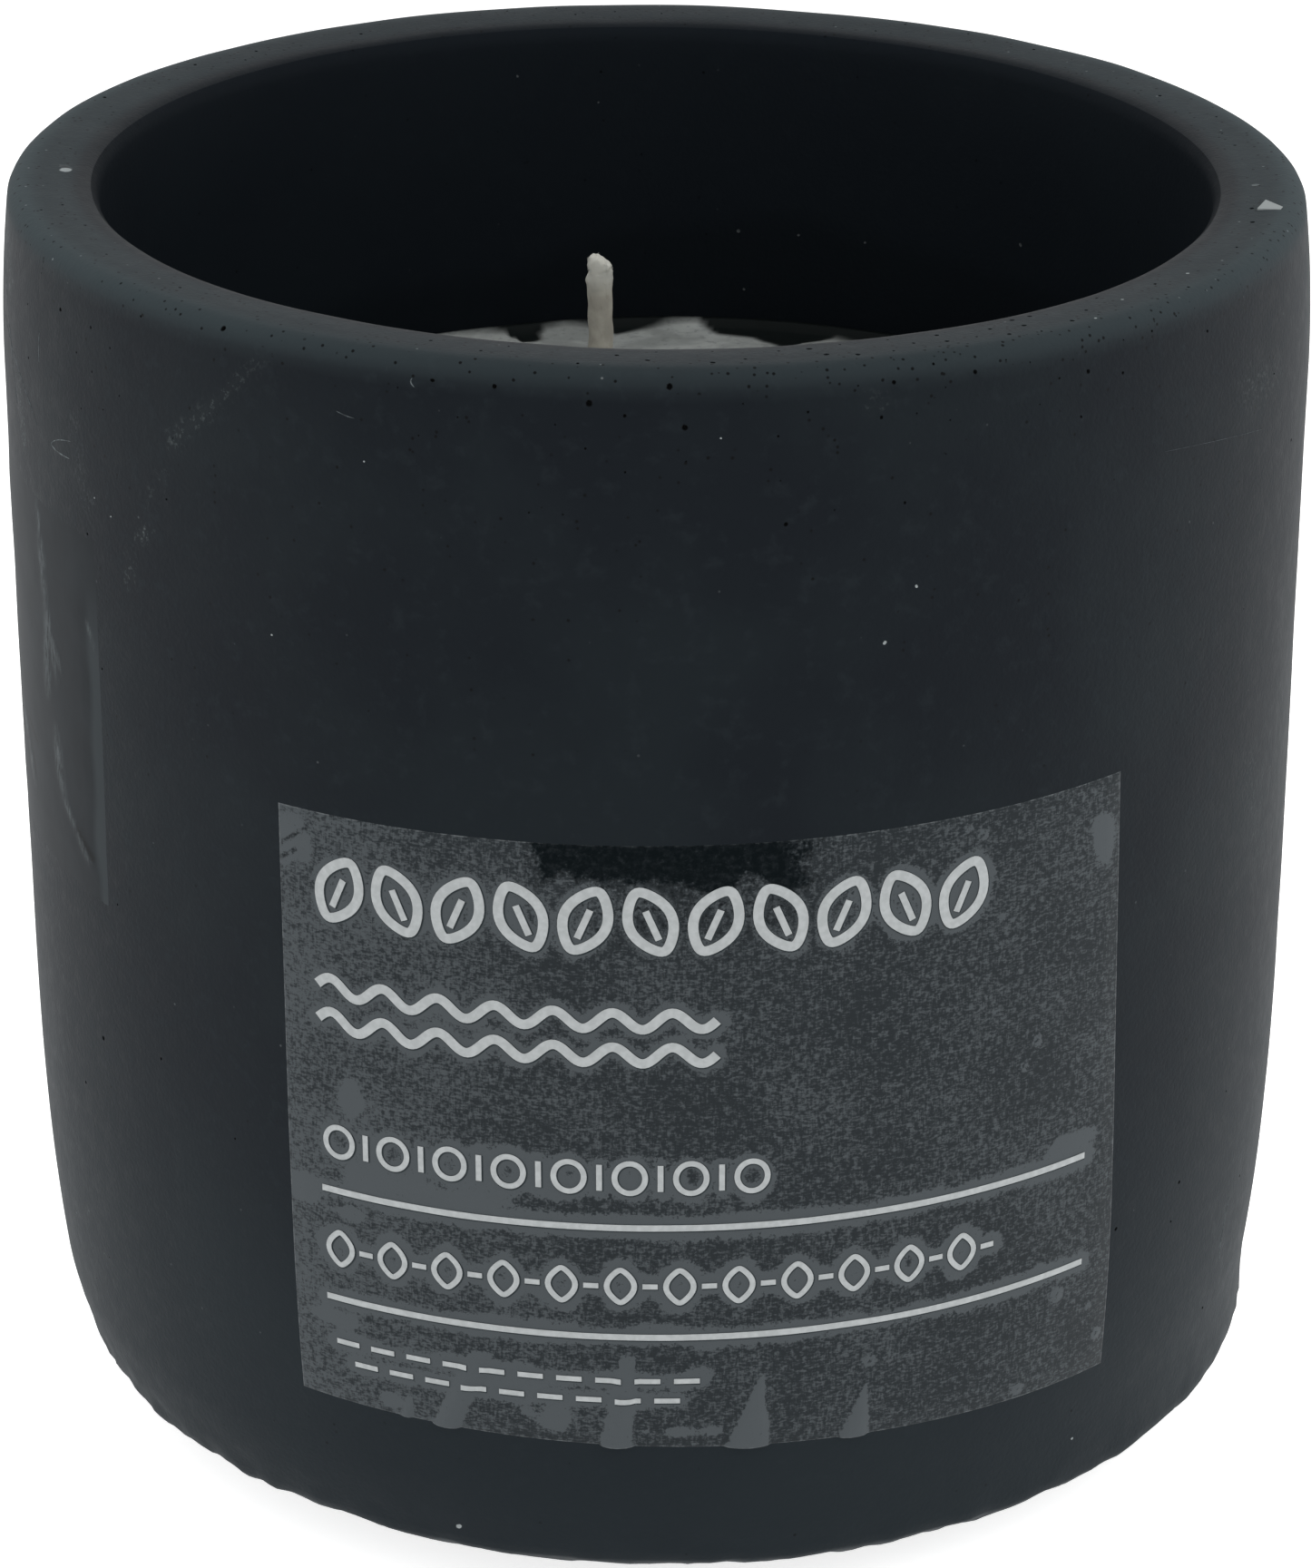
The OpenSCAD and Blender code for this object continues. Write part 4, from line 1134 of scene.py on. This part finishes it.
front = new_piece(
    "front_label_film",
    film_points,
    film_faces,
    films[0],
    {"air": air, "wetted": wetted, "edge": edge},
    np.c_[film_u, film_z],
    flat=1,
)
front.data.materials.append(films[1])
slots = np.concatenate([(wetted[faces] > 0.5).all(axis=1) for faces in film_faces])
front.data.polygons.foreach_set("material_index", slots.astype(np.int32))
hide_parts("front_label")

# The print: light grey screen ink in a thick even coat, and under each stroke a dark line,
# shifted down and to the right: a painted shadow of the ink on the film.
INK_LIFT, INK_SHADOW_SHIFT = 0.04, (0.04, -0.06)
FILM_FACE = FILM_SEAT + FILM_T
ink_parts, ink_shadow_parts = [], []
for group, width, closed in PRINT:
    lines, widths = np.array(group), np.full(len(group), width)
    ink_parts.append(ribbons(lines, widths, FILM_FACE + INK_LIFT, INK_T, closed))
    ink_shadow_parts.append(ribbons(lines + INK_SHADOW_SHIFT, widths + INK_SHADOW_W, FILM_FACE, INK_SHADOW_T, closed))
parts = ink_parts + ink_shadow_parts
print_points = np.concatenate([p for p, _ in parts])
shift = np.cumsum([0] + [len(p) for p, _ in parts[:-1]])
print_quads = np.concatenate([q + s for (_, q), s in zip(parts, shift)])
print_a = np.arctan2(print_points[:, 0], -print_points[:, 1])
stand = front_lift(print_a * POT_R, print_points[:, 2] / MM) * MM
print_out = np.stack([np.sin(print_a), -np.cos(print_a), 0 * print_a], 1)
print_points = print_points + print_out * stand[:, None]
ink_material, tree, shader = new_material("light_grey_screen_ink")
place = add(tree, "TexCoord", out="Object")
coat = add(tree, "TexNoise", place, at={"Scale": 1000 / 0.5, "Detail": 2.0})
coat = add(tree, "MapRange", coat, 0.35, 0.7, interpolation_type="SMOOTHSTEP")
tones = {0: coat, 6: linear("#A3A7A8"), 7: linear("#AEB2B3")}
tone = add(tree, "Mix", at=tones, out=2, data_type="RGBA")
join(tree, shader, {"Base Color": tone, "Roughness": 0.6, "Specular IOR Level": 0.1})
ink_shadow_material, tree, shader = new_material("painted_shadow_under_the_ink")
place = add(tree, "TexCoord", out="Object")
shadow_mottle = add(tree, "TexNoise", place, at={"Scale": 1000 / 0.6, "Detail": 2.0})
tones = {0: shadow_mottle, 6: linear("#1D2427"), 7: linear("#30373A")}
tone = add(tree, "Mix", at=tones, out=2, data_type="RGBA")
join(tree, shader, {"Base Color": tone, "Roughness": 0.45, "Specular IOR Level": 0.08})
ink = new_piece(
    "front_label_print", print_points, [print_quads], ink_material, flat=1
)
ink.data.materials.append(ink_shadow_material)
slots = np.zeros(len(print_quads), np.int32)
slots[-sum(len(q) for _, q in ink_shadow_parts) :] = 1
ink.data.polygons.foreach_set("material_index", slots)

# The side label: bare clear film on the left, of which the near edge shows. It lies well
# down, so it is seen by its gloss, its cut edge, and the thin creases that stand up.
SIDE_CORNERS = (((-107.6, 51.0), (-59.6, 51.0)), ((-107.6, 80.5), (-59.2, 80.5)))
NEAR_EDGE_A = -59.4
SIDE_T, SIDE_ROLLED_W, SIDE_STEPS = 0.03, 3.0, (150, 110)
# Creases from head to foot in degrees and mm, with their width and height
CREASES = (
    (-71.6, 79.8, -71.0, 77.5, 0.5, 0.02), (-71.0, 77.5, -70.4, 72.6, 0.8, 0.03),
    (-70.4, 72.6, -69.4, 70.05, 0.7, 0.04), (-69.4, 70.05, -67.2, 68.0, 0.5, 0.03),
    (-70.4, 72.6, -68.4, 66.8, 0.5, 0.03), (-70.4, 72.6, -70.9, 65.0, 0.8, 0.03),
    (-61.3, 73.6, -60.3, 71.8, 0.3, 0.03), (-69.2, 62.4, -68.0, 57.5, 0.9, 0.03),
    (-68.0, 57.5, -65.2, 55.6, 0.5, 0.03), (-65.2, 55.6, -62.9, 53.9, 0.6, 0.05),
    (-92.0, 79.9, -89.5, 71.0, 0.8, 0.06), (-82.2, 60.4, -79.4, 57.6, 0.7, 0.04),
    (-79.4, 57.6, -77.4, 55.4, 0.6, 0.04), (-99.0, 50.6, -96.0, 58.0, 0.8, 0.06),
)


def crease_share(u, z):
    """How near each place is to a crease, and how far the film stands off there: a
    narrow bell across each segment, thinner towards its ends, that noise makes waver."""
    share, stand = 0 * u, 0 * u
    fine = 0.12 * lattice(u / 0.8 + 90, z / 0.6, 120, 84)
    u = u + 0.22 * lattice(u / 1.2 + 90, z / 1.7, 90, 83) + fine
    for *segment, width, height in CREASES:
        t, away = from_segment(u, z, *segment)
        bell = np.exp(-((away / width) ** 2)) * (0.5 + 0.5 * np.sin(np.pi * t))
        share, stand = np.maximum(share, bell), np.maximum(stand, height * bell)
    return share, stand


def side_lift(u, z):
    """Lift of the side film: its creases and a slight ripple."""
    return crease_share(u, z)[1] + RIPPLE * (1 + lattice(u / 4.3 + 80, z / 3.1, 90, 81))


side_points, side_faces, su, sz = film_sheet(
    SIDE_CORNERS, SIDE_STEPS, side_lift, SIDE_T, SIDE_ROLLED_W
)[:4]
# The creases are painted lighter: partly air under the film, partly painted highlight
crease_air_and_highlight = np.clip(crease_share(su, sz)[0] * 1.3 - 0.2, 0, 1)
# By its near edge the film has let go of the paint again, in a band 1 to 2 mm wide, painted
# lighter for the air under it and as painted sheen; the last fold is creased sharp and painted
# dark inside, as are two short ones further round: painted shade in the crease. Folds run from
# head to foot in degrees and mm, with half their width
near_edge_u = np.radians(NEAR_EDGE_A) * POT_R
loose_band_and_sheen = su - near_edge_u + 2.0 + 0.4 * lattice(sz / 4, 0 * sz + 6, 40, 82)
loose_band_and_sheen = np.clip(loose_band_and_sheen / 0.8, 0, 1) * np.clip((77 - sz) / 6, 0, 1)
FOLDS = (
    (-64.9, 55.8, -62.3, 54.3, 0.36),
    (-80.0, 60.4, -75.5, 59.3, 0.2),
    (-77.5, 57.8, -77.1, 56.3, 0.2),
)
fold_shade = 0 * su
for *segment, width in FOLDS:
    t, away = from_segment(su, sz, *segment)
    fold_shade = np.maximum(fold_shade, np.clip(1.5 - away / (width * (0.55 + 0.45 * t)), 0, 1))
bare_film, tree, shader = new_material("clear_film_creased")
map_uv = add(tree, "TexCoord", out="UV")
haze = add(tree, "TexNoise", map_uv, at={"Scale": 1 / 5, "Detail": 3.0})
grain = add(tree, "VectorMath", map_uv, (3.0, 0.8, 1), operation="MULTIPLY")
grain = add(tree, "TexNoise", grain, at={"Scale": 1.0, "Detail": 4.0, "Roughness": 0.7})
hazy = add(tree, "MapRange", haze, 0.35, 0.7, interpolation_type="SMOOTHSTEP")
free, crease_light, fold_shade_share = (
    add(tree, "Attribute", out="Fac", attribute_name=value) for value in ("loose_band_and_sheen", "air", "fold_shade")
)
free = add(tree, "Math", free, 0.9, operation="MULTIPLY")
broken = add(tree, "MapRange", grain, 0.4, 0.64, 0.05, 0.95)
crease_light = add(tree, "Math", crease_light, broken, operation="MULTIPLY")
# Over the film's tone go the haze, then the loose band and the creases, painted lighter partly as
# sheen and highlight, and the folds, painted dark as shade
tone = linear("#11161A")
for share, code in ((hazy, "#171C20"), (free, "#2A3033"), (crease_light, "#4A5052"), (fold_shade_share, "#06080A")):
    tone = add(tree, "Mix", at={0: share, 6: tone, 7: linear(code)}, out=2, data_type="RGBA")
bump = add(tree, "Bump", at={"Height": haze, "Strength": 0.2, "Distance": 0.0002})
join(tree, shader, {"Base Color": tone, "Roughness": 0.6, "Normal": bump})
join(tree, shader, {"Specular IOR Level": 0.05, "Sheen Weight": 0.05})
join(tree, shader, {"Sheen Roughness": 0.5, "Sheen Tint": linear("#E8EEF2")})
side = new_piece(
    "side_label_film",
    side_points,
    side_faces,
    bare_film,
    {"air": crease_air_and_highlight, "loose_band_and_sheen": loose_band_and_sheen, "fold_shade": fold_shade},
    np.c_[su, sz],
    flat=1,
)
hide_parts("side_label")

# The ground: a wide white sheet that keeps the pot's shadow. To the camera and to gloss
# it shows near white, and it sends no more light to the pot than white card does.
GROUND = 3.0
floor_mesh = bpy.data.meshes.new("ground")
ground_corners = [(x * GROUND, y * GROUND, 0) for x, y in ((-1, -1), (1, -1), (1, 1), (-1, 1))]
floor_mesh.from_pydata(ground_corners, [], [(0, 1, 2, 3)])
floor = bpy.data.objects.new("ground", floor_mesh)
bpy.context.scene.collection.objects.link(floor)
ground, tree, shader = new_material("white_card")
place = add(tree, "TexCoord", out="Object")
away = add(tree, "VectorMath", place, out="Value", operation="LENGTH")
far = add(tree, "MapRange", away, 0.12, 0.5, interpolation_type="SMOOTHSTEP")
tones = {0: far, 6: linear("#FCFCFC"), 7: linear("#8A8A8A")}
tone = add(tree, "Mix", at=tones, out=2, data_type="RGBA")
join(tree, shader, {"Base Color": tone, "Roughness": 0.9, "Specular IOR Level": 0.2})
seen_by = add(tree, "LightPath", out="Is Camera Ray")
rays = seen_by.node.outputs
for kind_of_ray in ("Is Glossy Ray", "Is Transmission Ray"):
    seen_by = add(tree, "Math", seen_by, rays[kind_of_ray], operation="ADD")
glow = add(tree, "MapRange", far, 0.0, 1.0, 0.68, 0.92)
glow = add(tree, "Math", seen_by, glow, operation="MULTIPLY")
join(tree, shader, {"Emission Color": (1, 1, 1, 1), "Emission Strength": glow})
floor_mesh.materials.append(ground)

# The light: a white room, brighter in front than behind, with a wide soft lamp high on
# the right and a soft box low on each side, a little behind the pot.
world = bpy.data.worlds.new("white_room")
bpy.context.scene.world = world
world.use_nodes = True
tree = world.node_tree
sky = tree.nodes["Background"]
ray = add(tree, "TexCoord", out="Generated")
up = add(tree, "SeparateXYZ", ray, out="Z")
glare = add(tree, "MapRange", up, 0.05, 0.9, 1.2, 0.75, interpolation_type="SMOOTHSTEP")
front_to_back = up.node.outputs["Y"]
back = add(
    tree, "MapRange", front_to_back, -0.6, 0.6, 1.22, 0.92, interpolation_type="SMOOTHSTEP"
)
glare = add(tree, "Math", glare, back, operation="MULTIPLY")
join(tree, sky, {"Strength": glare, "Color": (1, 1, 1, 1)})
for name, shape, spot, wide, high, watts in (
    ("soft_lamp", "ELLIPSE", (0.7, -0.7, 1.1), 0.9, 0.9, 2.5),
    ("side_box_left", "RECTANGLE", (-0.95, 0.1, 0.12), 0.9, 0.24, 1.8),
    ("side_box_right", "RECTANGLE", (0.95, 0.1, 0.12), 0.9, 0.24, 2.1),
):
    lamp_data = bpy.data.lights.new(name, "AREA")
    lamp_data.shape, lamp_data.energy = shape, watts
    lamp_data.size, lamp_data.size_y = wide, high
    lamp = bpy.data.objects.new(name, lamp_data)
    lamp.location = spot
    to_pot = Vector((0, 0, POT_H / 2 * MM)) - lamp.location
    lamp.rotation_euler = to_pot.to_track_quat("-Z", "Y").to_euler()
    bpy.context.scene.collection.objects.link(lamp)

# The camera: at the photograph's height, on the side of the label's middle that shows
# the left film, with the lens that its perspective gives.
CAMERA_TILT, CAMERA_TURN, CAMERA_REACH = np.radians(23.515), np.radians(-4.93), 0.394376
target = Vector((-0.0000566, 0.0000049, 0.048576))
level_reach = CAMERA_REACH * np.cos(CAMERA_TILT)
camera_data = bpy.data.cameras.new("camera")
camera_data.sensor_width, camera_data.lens, camera_data.clip_start = 36, 112.81, 0.01
camera = bpy.data.objects.new("camera", camera_data)
sideways, forward = level_reach * np.sin(CAMERA_TURN), -level_reach * np.cos(CAMERA_TURN)
camera.location = target + Vector((sideways, forward, CAMERA_REACH * np.sin(CAMERA_TILT)))
camera.rotation_euler = (target - camera.location).to_track_quat("-Z", "Y").to_euler()
bpy.context.scene.collection.objects.link(camera)
bpy.context.scene.camera = camera
bpy.context.scene.view_settings.view_transform = "Standard"
